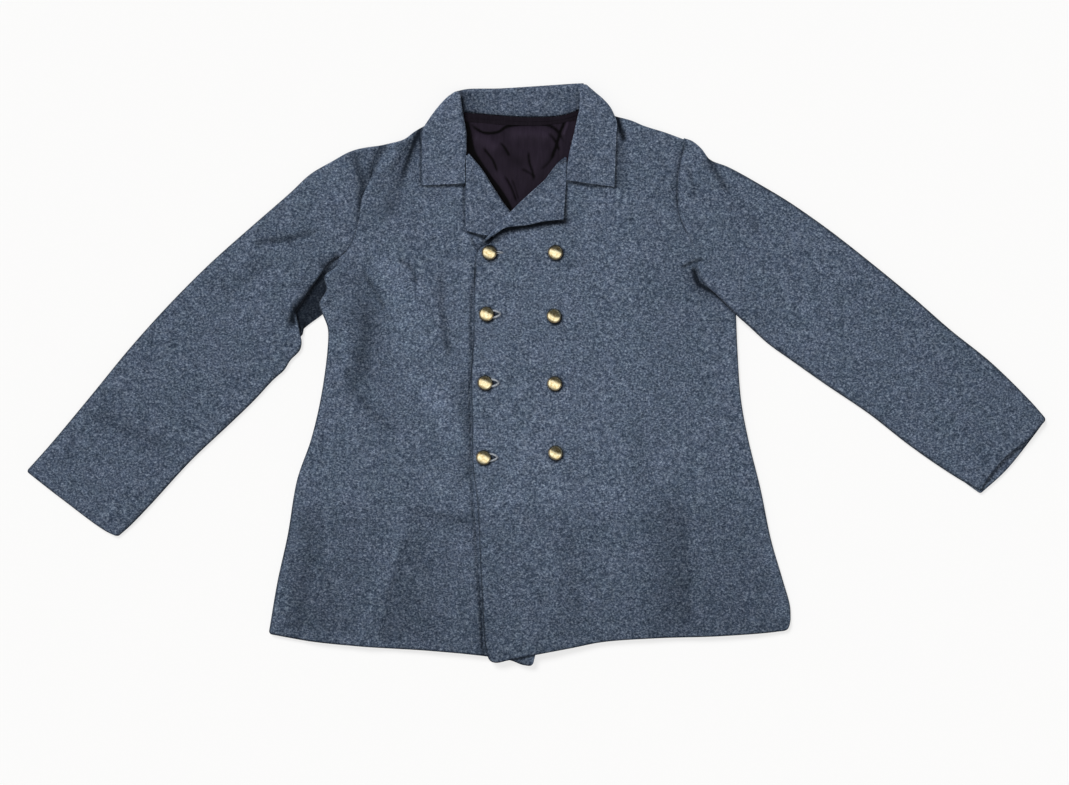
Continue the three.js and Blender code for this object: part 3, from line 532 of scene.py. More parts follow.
def folded(folds, x, y, column="height"):
    """The height, or the darkening, that a table's folds give at each place."""
    bent_x = x + 1.1 * unevenness(x, y, 38, 3.7)
    bent_y = y + 1.1 * unevenness(x, y, 38, 8.1)
    total = np.zeros(x.shape)
    for row in folds:
        fold = dict(zip(FOLD_COLUMNS, row))
        line = smooth_run(fold["line"], 4)
        margin = 2.6 * np.max([*np.broadcast_to(fold["left"], 2), *np.broadcast_to(fold["right"], 2)])
        (low_x, low_y), (high_x, high_y) = line.min(axis=0) - margin, line.max(axis=0) + margin
        near = (bent_x > low_x) & (bent_x < high_x) & (bent_y > low_y) & (bent_y < high_y)
        away, where, side = distance_to(line, bent_x[near], bent_y[near])
        left, right, amount = (np.interp(where, (0, 1), np.broadcast_to(fold[name], 2))
                               for name in ("left", "right", column))
        fading = ease(0, 0.2, where) * ease(0, 0.2, 1 - where)
        total[near] += amount * fading * np.exp(-(away / np.where(side > 0, left, right)) ** 2)
    return total


def crown(x, y):
    taper = (y - ARMPIT_Y) / (SHOULDER_Y - ARMPIT_Y) * (HALF_SHOULDER - HALF_CHEST)
    half = np.where(y > ARMPIT_Y, HALF_CHEST + taper, HALF_CHEST + (ARMPIT_Y - y) * FLARE)
    return EDGE_AIR + BODY_AIR * ease(0, 110, half - np.abs(x - MIDDLE_X))


def smooth_front(x, y):
    reach = np.hypot((x - NECK["x"]) / NECK["wide"], (y - NECK["y"]) / NECK["high"])
    lining = (SATIN + GAP) * (1 - ease(1, 1.35, reach))
    return back_face(x, y) + (WOOL - WALL) + lining + LIFT + crown(x, y)


def body_folds(x, y):
    soft = (0.9 * unevenness(x, y, 90, 1.3) + 0.45 * unevenness(x, y, 34, 5.9)
            + 0.18 * unevenness(x, y, 13, 2.2))
    return folded(BODY_FOLDS, x, y) + soft


def seam_dip(line, x, y, depth, width):
    away = distance_to(line, x, y)[0]
    return -depth * np.exp(-(away / width) ** 2)


def front_face(x, y):
    crowned = crown(x, y)
    dip = seam_dip(ARMHOLE_RIGHT, x, y, 0.5, 4) + seam_dip(ARMHOLE_LEFT, x, y, 1.1, 5)
    air = crowned + body_folds(x, y) + dip
    # Cloth can't sink into what is under it, so a hollow flattens out as it gets there.
    return smooth_front(x, y) - crowned + 0.2 + np.log1p(np.exp((air - 0.2) * 2.5)) / 2.5


def front_level(x, y):
    return smooth_front(x, y) - crown(x, y) - WOOL


def layers_under_left(x, y):
    hidden = np.array([*NECK_RIGHT[3:], *HIDDEN_EDGE_RIGHT[1:]], float)[::-1]
    edge_x = np.interp(y, hidden[:, 1], hidden[:, 0])
    front = 1 - ease(edge_x + 16, edge_x + 56, x)
    lapel = (1 - ease(28, 70, x)) * ease(140, 176, y)
    return LIFT * front + (LIFT + LOOSE) * lapel


def left_face(x, y):
    return front_face(x, y) + layers_under_left(x, y)


def left_level(x, y):
    layers = layers_under_left(x, y)
    on_front = np.clip(layers / LIFT, 0, 1)
    on_cloth = (front_face(x, y) + GAP) * on_front
    return front_level(x, y) * (1 - on_front) + on_cloth + np.maximum(0, layers - LIFT)


def smooth_left(x, y):
    return smooth_front(x, y) + layers_under_left(x, y)


def body_shade(x, y):
    # Painted shade: darker below the waist and towards the sides, darker in the folds, and lighter on the
    # ridges.
    skirt = 0.12 * ease(165, 200, -y) + 0.12 * ease(210, 390, -y)
    sides = 0.09 * ease(110, 180, np.abs(x - MIDDLE_X - 10))
    return np.clip(0.17 + skirt + sides + folded(BODY_FOLDS, x, y, "dark"), 0, 1)


def left_shade(x, y):
    # Painted contact shadows: a dark ring around each button, set a little to its lower right, and a dark
    # slit beside each button of the right column for its buttonhole.
    painted_dark = np.zeros(x.shape)
    for row in BUTTONS:
        button = dict(zip(BUTTON_COLUMNS, row))
        away = np.hypot(x - button["x"] - 1.1, y - button["y"] + 1.1)
        painted_dark = np.maximum(painted_dark, 0.95 * (1 - ease(10, 13, away)))
        if button["side"] == "right":
            along, across = x - button["x"] - 12, y - button["y"]
            painted_dark = np.maximum(painted_dark, 0.9 * (1 - ease(0.5, 1.1, np.hypot(along / 7, across / 3))))
    return np.maximum(body_shade(x, y), painted_dark)


sewn_edges = ("left", "right", "bottom")

front_right_cloth = cloth_piece(
    "front_right_cloth", edge(SHOULDER_RIGHT), edge(HEM_RIGHT), edge(ARMHOLE_RIGHT, ARMPIT_RIGHT, SIDE_RIGHT),
    edge(NECK_RIGHT, HIDDEN_EDGE_RIGHT), lambda x, y, u, v: front_face(x, y), front_level, 330, 2.7,
    coat_wool,
    rolls=[("top", SIDE_ROLL, full), ("left", SIDE_ROLL, lambda v: ease(0.2, 0.27, v))], shade=body_shade,
    shade_edges=("left", "bottom"), corner=CORNER)
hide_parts("front_right")

front_left_cloth = cloth_piece(
    "front_left_cloth", edge(SHOULDER_LEFT), edge(HEM_LEFT), edge(NECK_LEFT, EDGE_LEFT),
    edge(ARMHOLE_LEFT, ARMPIT_LEFT, SIDE_LEFT), lambda x, y, u, v: left_face(x, y), left_level, 390, 2.9,
    coat_wool,
    rolls=[("top", SIDE_ROLL, full), ("left", FRONT_ROLL, lambda v: 0.6 * ease(0.3, 0.34, v)),
           ("right", SIDE_ROLL, lambda v: ease(0.21, 0.28, v))], shade=left_shade,
    shade_edges=sewn_edges, corner=CORNER)
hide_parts("front_left")


# ---- sleeves ----
# Each sleeve is an upper and an under piece of the wool, joined along both sides, set into the armhole
# and open at the cuff.

SLEEVE_AIR = 2.6
SURFACE_LEVEL = WOOL + GAP

SLEEVE_RIDGE_RIGHT = [
    (-249, 307), (-282, 290), (-309, 274), (-336, 249), (-391, 201), (-446, 152), (-501, 97), (-556, 36),
    (-610, -30), (-665, -96), (-698, -133),
]
SLEEVE_LOW_RIGHT = [
    (-323, 33), (-336, 19), (-345, 5), (-360, -8), (-386, -36), (-419, -68), (-473, -119), (-528, -179),
    (-556, -208), (-573, -223),
]
CUFF_RIGHT = [(-698, -133), (-646, -173), (-591, -214), (-573, -223)]
SLEEVE_RIDGE_LEFT = [
    (214, 318), (226, 308), (238, 293), (264, 282), (306, 259), (349, 233), (403, 195), (458, 152),
    (513, 107), (568, 59), (623, 15), (677, -38), (699, -63),
]
SLEEVE_LOW_LEFT = [(294, 66), (321, 42), (349, 22), (403, -16), (458, -53), (513, -96), (568, -134)]
CUFF_LEFT = [(699, -63), (672, -92), (647, -111), (623, -138), (610, -159)]
UNDER_CUFF_LEFT = [(699, -63), (679, -90), (645, -132), (610, -164)]
# How the lower edges run on from the armholes, beside the open right armpit and at the left one.
UPPER_ARMPIT_RIGHT = [
    (-262, 166), (-269, 160), (-279, 155), (-295, 136), (-319, 99), (-332, 77), (-327, 60), (-321, 47),
]
UNDER_ARMPIT_RIGHT = [(-292, 82), (-321, 59), (-329, 44), (-330, 30), (-341, 14), (-350, 1)]
UPPER_ARMPIT_LEFT = [(223, 150), (229, 132), (237, 121), (248, 111), (260, 99), (275, 83)]
# Painted shade over the whole of each under sleeve, which lies low and half hidden.
UNDER_SHADE = 0.28

SLEEVE_FOLDS_RIGHT = [
    # dips in the sleeve head
    ([(-197, 323), (-212, 303), (-221, 282), (-225, 260)], (6, 3), (14, 5), -2, (0.4, 0.6)),
    ([(-258, 315), (-244, 288), (-237, 263), (-237, 240), (-240, 208)],
     (10, 4.5), (7, 6), -3.2, (0.34, 0.68)),
    ([(-262, 292), (-268, 262), (-262, 226)], 18, 14, 1.8, -0.04),
    # both edges of the pocket at the armpit, and the creases above it
    ([(-262, 160), (-290, 134), (-320, 100), (-329, 73)], 8, 16, 3.8, 0),
    ([(-266, 163), (-276, 156), (-286, 149), (-295, 142)], 3.5, 4.5, -0.8, (0.5, 0.5)),
    ([(-294, 133), (-308, 115), (-320, 99), (-331, 79), (-327, 59)], 3, (4, 9), -0.8, (0.4, 1.0)),
    ([(-279, 164), (-301, 142), (-325, 107)], 6, 10, 0, 0.16),
    # creases across the sleeve
    ([(-391, 179), (-366, 182), (-343, 184), (-323, 188), (-292, 197)], 5, 5, -2.8, 0.42),
    ([(-399, 137), (-375, 145), (-342, 160)], 8, 8, -1.2, 0.14),
    ([(-440, 101), (-405, 126), (-366, 153)], 16, 18, -2.0, 0.1),
    ([(-620, -48), (-556, -74), (-488, -104)], 12, 14, -2.2, 0.18),
    ([(-599, -90), (-560, -104), (-520, -130)], 14, 14, 1.0, -0.03),
    ([(-329, 160), (-372, 118), (-401, 60)], 26, 20, 1.6, -0.03),
]
SLEEVE_FOLDS_LEFT = [
    # sleeve head: its seam, a crease beside it, and the cloth folded back at the shoulder
    ([(209, 326), (200.5, 299), (195.5, 277), (194, 252), (197, 214)], 2.6, 3, -1.4, (0.5, 0.3)),
    ([(198, 145), (217, 154), (234, 158)], 2.8, 2.8, -1.4, 0.6),
    ([(203, 288), (212, 271), (217, 252), (220, 234)], 3, 3, -1.2, 0.26),
    ([(231, 306), (239, 290), (249, 273), (259, 256), (273, 238)], (8, 5), (5, 4), -3.8, (0.62, 0.3)),
    ([(221, 300), (229, 277), (243, 248)], 12, 8, 1.6, 0),
    ([(268, 240), (287, 218), (312, 188)], 12, 14, -1.6, 0.14),
    ([(360, 100), (440, 51), (540, -30)], 26, 26, 1.4, -0.03),
    ([(320, 200), (420, 130), (499, 60)], 30, 26, 1.0, 0),
]
ARMPIT_POCKET = [(-268, 158), (-283, 142), (-296, 124), (-310, 100), (-318, 74)]


def sleeve_face(folds, level, seam, seed):
    def height(x, y, u, v):
        air = EDGE_AIR + SLEEVE_AIR * np.sin(np.pi * np.clip(u, 0, 1))
        soft = (0.7 * unevenness(x, y, 70, seed) + 0.4 * unevenness(x, y, 28, seed + 4)
                + 0.15 * unevenness(x, y, 12, seed))
        air = air + folded(folds, x, y) + soft + seam_dip(seam, x, y, 1.0, 4)
        return level(x, y) + WALL + 0.15 + np.log1p(np.exp((air - 0.15) * 2.5)) / 2.5
    return height


def plain_level(x, y):
    return np.full(x.shape, SURFACE_LEVEL)


def left_sleeve_level(x, y):
    over = 1 - ease(14, 60, distance_to(ARMPIT_LEFT, x, y)[0])
    return SURFACE_LEVEL * (1 - over) + (smooth_front(x, y) + 1.4) * over


def sleeve_shade(folds, seam):
    def painted_shade(x, y):
        # Painted shade along the armhole seam and in the folds, a little darker towards the cuffs.
        seam_shade = 0.14 * np.exp(-(distance_to(seam, x, y)[0] / 3) ** 2)
        return np.clip(0.25 + 0.07 * ease(250, 600, np.abs(x)) + seam_shade + folded(folds, x, y, "dark"), 0, 1)
    return painted_shade


both_sides = [("left", SIDE_ROLL, full), ("right", SIDE_ROLL, full)]

sleeve_top_right_cloth = cloth_piece(
    "sleeve_top_right_cloth", edge(ARMHOLE_RIGHT), edge(CUFF_RIGHT),
    edge([(-210, 314), *SLEEVE_RIDGE_RIGHT]), edge([*UPPER_ARMPIT_RIGHT, *SLEEVE_LOW_RIGHT]),
    sleeve_face(SLEEVE_FOLDS_RIGHT, plain_level, ARMHOLE_RIGHT, 6.4), plain_level, 165, 2.5, coat_wool,
    rolls=both_sides, shade=sleeve_shade(SLEEVE_FOLDS_RIGHT, ARMHOLE_RIGHT), shade_edges=sewn_edges, corner=CORNER)
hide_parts("sleeve_top_right")

sleeve_top_left_cloth = cloth_piece(
    "sleeve_top_left_cloth", edge(ARMHOLE_LEFT, [(214, 184), (221, 168), (223, 150)]), edge(CUFF_LEFT),
    edge([(203, 322), *SLEEVE_RIDGE_LEFT]), edge([*UPPER_ARMPIT_LEFT, *SLEEVE_LOW_LEFT, (610, -159)]),
    sleeve_face(SLEEVE_FOLDS_LEFT, left_sleeve_level, ARMHOLE_LEFT, 9.3), left_sleeve_level, 170, 2.5,
    coat_wool,
    rolls=both_sides, shade=sleeve_shade(SLEEVE_FOLDS_LEFT, ARMHOLE_LEFT), shade_edges=sewn_edges, corner=CORNER)
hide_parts("sleeve_top_left")


def under_face(x, y, u, v):
    return np.full(x.shape, WALL)


def under_shade(x, y):
    return np.full(x.shape, UNDER_SHADE)


def pocket_shade(x, y):
    # Painted shade: the under sleeve is darkened near the pocket at the right armpit, most below its top.
    away = distance_to(ARMPIT_POCKET, x, y)[0]
    return UNDER_SHADE + (1 - ease(18, 36, away)) * (0.66 - 0.5 * ease(132, 152, y))


sleeve_under_right_cloth = cloth_piece(
    "sleeve_under_right_cloth", edge(BACK_ARMHOLE_RIGHT), edge(CUFF_RIGHT),
    edge([(-210, 310), *SLEEVE_RIDGE_RIGHT]), edge([*UNDER_ARMPIT_RIGHT, *SLEEVE_LOW_RIGHT[3:]]),
    under_face, flat_on_table, 200, 5, coat_wool, shade=pocket_shade, shade_edges=sewn_edges, corner=CORNER)
sleeve_under_left_cloth = cloth_piece(
    "sleeve_under_left_cloth", edge(BACK_ARMHOLE_LEFT), edge(UNDER_CUFF_LEFT),
    edge([(203, 314), *SLEEVE_RIDGE_LEFT]), edge([(275, 84), *SLEEVE_LOW_LEFT, (610, -164)]),
    under_face, flat_on_table, 200, 5, coat_wool, shade=under_shade, shade_edges=sewn_edges, corner=CORNER)
for under, node in ((sleeve_under_right_cloth, "sleeve_under_right"),
                    (sleeve_under_left_cloth, "sleeve_under_left")):
    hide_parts(node)


# ---- lining and neck facing ----
# Dark plum satin lines the back, joined to a narrow strip of plain dark cloth along the neck seam.
# It shows only in the opening of the neck.

LINING_WALL = 0.6
LINING_FOLDS = [
    # the facing's lower edge, the curved seam below it, and the shadowed run beside the right roll
    ([(-95, 353), (-62, 350), (-31, 348), (14, 347), (42, 350)], 1.6, 1.6, -0.5, 0.35),
    ([(-95, 349), (-84, 338), (-71, 331), (-60, 331), (-50, 333), (-40, 339), (-25, 341), (-8, 342),
      (14, 342), (27, 336), (36, 326), (43, 312)], 1.5, 1.7, -1.6, 0.85),
    ([(-98, 359), (-94, 342), (-90, 322), (-85, 303), (-75, 286), (-65, 273), (-48, 251), (-34, 227),
      (-27, 215)], (3, 2.4), 4, -0.4, 1.6),
    # creases that run to the point of the neck, and the pleat down the middle
    ([(-73, 312), (-65, 301), (-58, 292), (-50, 275)], 1.3, 1.6, -1.6, 0.6),
    ([(-49, 319), (-42, 310), (-35, 297)], 1.4, 1.6, -1.2, 0.45),
    ([(-10, 307), (-9, 290), (-4, 277), (-2, 263)], 1.4, 1.5, -1.2, 0.55),
    ([(-42, 274), (-31, 253), (-24, 234)], 1.3, 1.6, -1.3, 0.5),
    ([(-32, 269), (-25, 249), (-21, 238)], 1.2, 1.3, -1.0, 0.3),
    ([(-21, 282), (-10, 277), (1, 269)], 1.7, 1.7, -0.9, 0.35),
    ([(17, 332), (28, 319), (34, 304)], 1.8, 1.8, -1.2, 0.5),
    ([(6, 279), (17, 289), (28, 304)], 1.8, 1.8, -0.9, 0.3),
    # the facing down the left side, loose at its top, where it has a painted highlight
    ([(42, 352), (38, 342), (34, 332), (29, 312), (20, 293)], 1.8, 2.0, -1.4, 0.7),
    ([(46, 348), (42, 337), (39, 326)], 2.4, 2.4, 1.2, -0.35),
    # smooth cloth between them, with painted sheen
    ([(-87, 329), (-68, 318), (-49, 306)], 9, 9, 1.2, -0.24),
    ([(-38, 329), (-5, 330), (28, 325)], 7, 8, 1.2, -0.26),
    ([(-57, 285), (-42, 263), (-31, 238)], 6, 6, 0.6, -0.14),
    ([(12, 310), (2, 290), (-10, 269)], 7, 7, 0.6, -0.12),
    ([(-49, 310), (-29, 293), (-13, 285)], 8, 8, -0.4, 0.14),
]


def lining_face(x, y):
    return back_face(x, y) + GAP + SATIN


def lining_surface(x, y, u, v):
    height = folded(LINING_FOLDS, x, y) + 0.35 * unevenness(x, y, 16, 2.9) + 0.15 * unevenness(x, y, 6, 7.7)
    return lining_face(x, y) + np.maximum(-0.25, height)


def lining_shade_and_sheen(x, y):
    # Painted shade in the lining's creases and painted sheen between them, around a middle tone, with random
    # streaks.
    streaks = 0.10 * unevenness(x / 2.2, y / 6, 3, 9.2)
    return np.clip(0.56 + 0.5 * streaks + folded(LINING_FOLDS, x, y, "dark"), 0, 1)


def satin_cloth(name, colour, light, roughness):
    """Smooth dark lining cloth, a little streaked along its threads. The `painted_shade` attribute darkens it
    towards near black: painted shade in its creases, and where it is low, painted sheen."""
    material, nodes, links, shader = new_material(name, {"Specular IOR Level": 0.05})
    place = nodes.new("ShaderNodeTexCoord")
    mapping = set_inputs(nodes.new("ShaderNodeMapping"), {"Scale": (1, 0.12, 1)})
    streaks = set_inputs(nodes.new("ShaderNodeTexNoise"), {"Scale": 420, "Detail": 3})
    tone = tone_ramp(nodes, [(0.3, colour), (0.75, light)])
    painted_shade = nodes.new("ShaderNodeAttribute")
    painted_shade.attribute_name = "painted_shade"
    creased = nodes.new("ShaderNodeMix")
    creased.data_type = "RGBA"
    creased.inputs[7].default_value = (0.0008, 0.0006, 0.001, 1)
    rough = set_inputs(nodes.new("ShaderNodeMapRange"), {
        "To Min": roughness - 0.06, "To Max": roughness + 0.08,
    })
    bump = set_inputs(nodes.new("ShaderNodeBump"), {"Strength": 0.2, "Distance": 0.2 * MM})
    links.new(place.outputs["Object"], mapping.inputs["Vector"])
    links.new(mapping.outputs["Vector"], streaks.inputs["Vector"])
    links.new(streaks.outputs["Fac"], tone.inputs["Fac"])
    links.new(tone.outputs["Color"], creased.inputs[6])
    links.new(painted_shade.outputs["Fac"], creased.inputs[0])
    links.new(creased.outputs[2], shader.inputs["Base Color"])
    links.new(streaks.outputs["Fac"], rough.inputs["Value"])
    links.new(rough.outputs["Result"], shader.inputs["Roughness"])
    links.new(streaks.outputs["Fac"], bump.inputs["Height"])
    links.new(bump.outputs["Normal"], shader.inputs["Normal"])
    return material


plum_satin = satin_cloth("plum_satin", (0.032, 0.0235, 0.040), (0.043, 0.032, 0.054), 0.42)
neck_cloth = satin_cloth("neck_cloth", (0.0085, 0.0065, 0.0100), (0.0140, 0.0110, 0.0165), 0.7)

back_lining_cloth = cloth_piece(
    "back_lining_cloth",
    edge([(-112, 347), (-95, 346.5), (-47, 342.5), (6, 341.5), (34, 344.5), (53, 348.5), (71, 352)]),
    edge([(-46, 206), (-22, 206)]), edge([(-112, 347), (-109, 305), (-90, 268), (-67, 236), (-46, 206)]),
    edge([(71, 352), (62, 318), (55, 290), (35, 262), (5, 232), (-22, 206)]), lining_surface, back_face, 180,
    1.4, plum_satin, wall=LINING_WALL, shade=lining_shade_and_sheen)
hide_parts("back_lining")


def facing_surface(x, y, u, v):
    return lining_face(x, y) + 0.7 + 0.3 * np.sin(np.pi * v) + 0.2 * unevenness(x, y, 9, 4.4)


neck_facing_cloth = cloth_piece(
    "neck_facing_cloth",
    edge([(-112, 359.5), (-101, 358.6), (-61, 354.8), (-9, 351.8), (35, 353.8), (58, 360.8), (70, 365)]),
    edge([(-112, 346.4), (-95, 345.8), (-47, 341.8), (6, 340.8), (34, 343.8), (53, 347.8), (70.5, 351.6)]),
    edge([(-112, 359.5), (-112, 346.4)]), edge([(70, 365), (70.5, 351.6)]), facing_surface, back_face, 182,
    1.5, neck_cloth, wall=LINING_WALL)
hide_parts("neck_facing")


# ---- collar stand ----
# The band of the collar that rises from the neck seam behind the neck. It rolls over at its top edge,
# where the collar turns down.

COLLAR_ROLL = 6
NECK_SEAM = [(-113, 361), (-101, 360), (-61, 356), (-9, 353), (35, 355), (58, 362), (67, 367)]

# Painted shade: the coat's wool with every tone made about a fifth darker, a shaded copy of it used on the
# collar and the lapels.
collar_wool = wool_cloth(
    "collar_wool", (0.037, 0.053, 0.086), (0.087, 0.115, 0.170), (0.214, 0.258, 0.338), 0.010)


def stand_face(x, y, u, v):
    lifted = 3 * ease(55, 88, np.abs(x + 21))
    soft = 0.5 * unevenness(x, y, 22, 6.1) - 1.2 * np.exp(-((x + 14) / 40) ** 2) * ease(0.5, 1, v)
    return SURFACE_LEVEL + WALL + EDGE_AIR + 0.6 + lifted + soft


def stand_shade(x, y):
    # Painted shade: under the roll of the fall, beside the ends of the leaves and along the neck seam.
    beside_leaves = 0.34 * ease(34, 66, x) * ease(398, 372, y) + 0.8 * ease(-92, -109, x) * ease(398, 376, y)
    beside_seam = 0.25 * ease(6, 0, distance_to(NECK_SEAM, x, y)[0])
    under_roll = 0.32 * ease(-52, -106, x) * ease(394, 374, y)
    return 0.13 + beside_leaves + under_roll + beside_seam


collar_stand_cloth = cloth_piece(
    "collar_stand_cloth", edge([(-108, 388), (-94, 391), (-49, 392), (-8, 394.5), (53, 398.5), (66, 399)]),
    edge(NECK_SEAM), edge([(-108, 388), (-113, 361)]), edge([(66, 399), (67, 367)]), stand_face,
    plain_level, 168, 1.8, collar_wool,
    rolls=[("top", COLLAR_ROLL, full)], shade=stand_shade)
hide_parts("collar_stand")


# ---- collar fall ----
# The collar's fall is one band of wool. Its two leaves lie on the fronts, and between them it is creased
# over at the shoulders and runs flat under the back.

ROLL_AIR = 2.5
COLLAR_WIDTH = 60
# Rows of a point on the outer edge, one on the inner edge, how much it is rolled, and 1 behind the neck.
LEAF_RIGHT = [
    ((-153, 258), (-96.3, 260.5), 0, 0),
    ((-155, 286), (-96.3, 285), 0, 0),
    ((-155, 307), (-94, 304), 0.6, 0),
    ((-155, 324), (-94, 329), 1, 0),
    ((-153.5, 332), (-99, 357), 1, 0),
]
FALL_BEHIND = [
    ((-131, 334), (-100, 387), 0, 1),
    ((-76, 323), (-62, 390), 0, 1),
    ((-14, 319), (-14, 393), 0, 1),
    ((47, 325), (34, 396), 0, 1),
    ((90, 340), (60, 397.5), 0, 1),
]
LEAF_LEFT = [
    ((111.5, 339), (60, 363), 1, 0),
    ((110, 321), (52, 327), 1, 0),
    ((109, 293), (45.5, 300), 0.6, 0),
    ((108.5, 275), (43.4, 283), 0, 0),
    ((108, 256), (42.7, 264.5), 0, 0),
]
# Where the fall turns over, from its outer edge to the inner: the line the turn starts from, on top, and
# the line its fold reaches out to.
CREASE_RIGHT = {
    "from": [(-152, 337), (-136, 349), (-126, 360), (-115, 371.5), (-103, 382.5)],
    "to": [(-151, 341.5), (-143, 353.5), (-133, 366.5), (-121, 379), (-107, 388.5)],
}
CREASE_LEFT = {
    "from": [(111, 344.5), (98, 358), (87.5, 368.5), (75, 380), (61, 392)],
    "to": [(109.5, 351), (103.5, 364), (94.5, 375), (81, 386.5), (67, 398.5)],
}


def leaf_face(x, y, inward):
    front = np.where(x < MIDDLE_X, smooth_front(x, y), smooth_left(x, y))
    return front + LIFT + LOOSE + ROLL_AIR * ease(0.45, 1, inward)


def collar_stations():
    """The lines across the collar, from the right leaf's lower edge to the left leaf's."""
    def run(rows, per_gap):
        table = np.array([[*outer, *inner, rolled, 180 * behind, 0]
                          for outer, inner, rolled, behind in rows], float)
        parts = np.linspace(0, len(rows) - 1, per_gap * (len(rows) - 1) + 1)
        return np.stack([np.interp(parts, range(len(rows)), column) for column in table.T], axis=1)

    def crease(fold, side, turns):
        return np.array([[*fold["from"][0], *fold["from"][-1], 0, turn, side] for turn in turns], float)

    edges_right = run(LEAF_RIGHT, 10)
    edges_left = run(LEAF_LEFT, 10)
    lower = edges_right[0] + (edges_right[1] - edges_right[0]) * 0.12
    upper = edges_left[-1] + (edges_left[-2] - edges_left[-1]) * 0.12
    turns = np.linspace(0, 180, 25)
    return np.vstack([edges_right[:1], lower[None], edges_right[1:], crease(CREASE_RIGHT, -1, turns),
                      run(FALL_BEHIND, 8), crease(CREASE_LEFT, 1, turns[::-1]), edges_left[:-1], upper[None],
                      edges_left[-1:]])


def crease_place(line, part):
    spots = smooth_run(line)
    far = np.linspace(0, 1, len(spots))
    return np.interp(part, far, spots[:, 0]), np.interp(part, far, spots[:, 1])


stations = collar_stations()
across = cell_lines(COLLAR_WIDTH, 1.8)
mesh, spots = unit_grid(len(across) - 1, len(stations) - 1)
part = across[np.rint(spots[:, 0] * (len(across) - 1)).astype(int)]
index = np.rint((1 - spots[:, 1]) * (len(stations) - 1)).astype(int)
outer_x, outer_y, inner_x, inner_y, rolled, turn, side = stations[index].T
x = outer_x + (inner_x - outer_x) * part
y = outer_y + (inner_y - outer_y) * part
angle = np.radians(turn)
closed = np.where(side == 0, 1, quarter_round((1 - part) * COLLAR_WIDTH, 4))
reach = np.sin(angle) * (0.4 + 0.6 * closed)
for crease, here in ((CREASE_RIGHT, side < 0), (CREASE_LEFT, side > 0)):
    from_x, from_y = crease_place(crease["from"], part)
    to_x, to_y = crease_place(crease["to"], part)
    x = np.where(here, from_x + (to_x - from_x) * reach, x)
    y = np.where(here, from_y + (to_y - from_y) * reach, y)
on_leaf = leaf_face(x, y, part) + 0.5 * unevenness(x, y, 24, 3.1) + 0.12 * unevenness(x, y, 9, 1.7)
low = leaf_face(x, y, np.zeros(part.shape)) - WOOL
rolled_over = 1 + rolled * (quarter_round((1 - part) * COLLAR_WIDTH, COLLAR_ROLL) - 1)
radius = leaf_face(x, y, part) / 2
z = np.where(turn > 0, radius * (1 + np.cos(angle) * closed), low + (on_leaf - low) * rolled_over)
place_points(mesh, x, y, z)
bmesh.ops.reverse_faces(mesh, faces=mesh.faces[:])
collar_fall_cloth = as_object("collar_fall_cloth", mesh, collar_wool, WALL)
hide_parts("collar_fall")


# ---- lapels ----
# The upper corners of the fronts' facings, turned out at the roll line. The left lapel lies on top, and
# its lower edge curls up off the front.

LAPEL_CURL = 5


def lapel(name, top, bottom, left, right, front, spring, lifted, seed):
    def height(x, y, u, v):
        soft = 0.4 * unevenness(x, y, 26, seed)
        roll = spring(v) * (LOOSE + ROLL_AIR * (1 - ease(0, 0.6, u)))
        return front(x, y) + LIFT + roll + lifted * v ** 4 + soft
    return cloth_piece(name, top, bottom, left, right, height, lambda x, y: front(x, y) - WALL, 62, 1.6,
                       collar_wool, rolls=[("left", COLLAR_ROLL, full)])


lapel_right_cloth = lapel(
    "lapel_right_cloth", edge([(-92, 299.5), (-94.6, 298)]),
    edge([(20, 181), (-21, 184), (-71, 190), (-95, 196)]),
    edge([(-92, 299.5), (-74.5, 279), (-56, 250), (-37, 223), (-9, 199.5), (20, 181)]),
    edge([(-94.6, 298), (-95.3, 260), (-95, 196)]), smooth_front, lambda v: 1 - ease(0.3, 0.52, v), 0, 2.0)
lapel_left_cloth = lapel(
    "lapel_left_cloth", edge([(41.6, 294), (42.8, 295.5)]),
    edge([(-71, 182), (-53, 192), (-42, 199), (-12, 203), (9, 208), (38, 211)]),
    edge([(41.6, 294), (27, 284), (13, 266), (-8, 247), (-31, 225), (-71, 182)]),
    edge([(42.8, 295.5), (42.3, 283), (41.8, 264), (38, 211)]), smooth_left, full, LAPEL_CURL, 5.0)
for turned, node, below in ((lapel_right_cloth, "lapel_right", "front_right_cloth"),
                            (lapel_left_cloth, "lapel_left", "front_left_cloth")):
    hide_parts(node)


# ---- buttons ----
# Eight plain domed brass buttons in two columns: a stamped shell with a rolled rim and a flat back, on a
# short shank. The left column is sewn to the left front, and the right one to the front below it.

# Distance from the axis and height, from the foot of the shank to the crown.
BUTTON_PROFILE = [
    (0, 0), (1.7, 0), (1.9, 0.4), (1.7, 1.9), (2.4, 2.2), (8.4, 2.25), (9.3, 2.35), (9.85, 2.75), (10, 3.2),
    (9.8, 3.65), (9.35, 3.85), (9.15, 4.0), (9.0, 4.45), (8.4, 5.25), (7.3, 6.15), (5.9, 6.85), (4.3, 7.35),
    (2.3, 7.7), (0, 7.8),
]
BUTTON_HEIGHT = BUTTON_PROFILE[-1][1]
SPIN_STEPS = 48

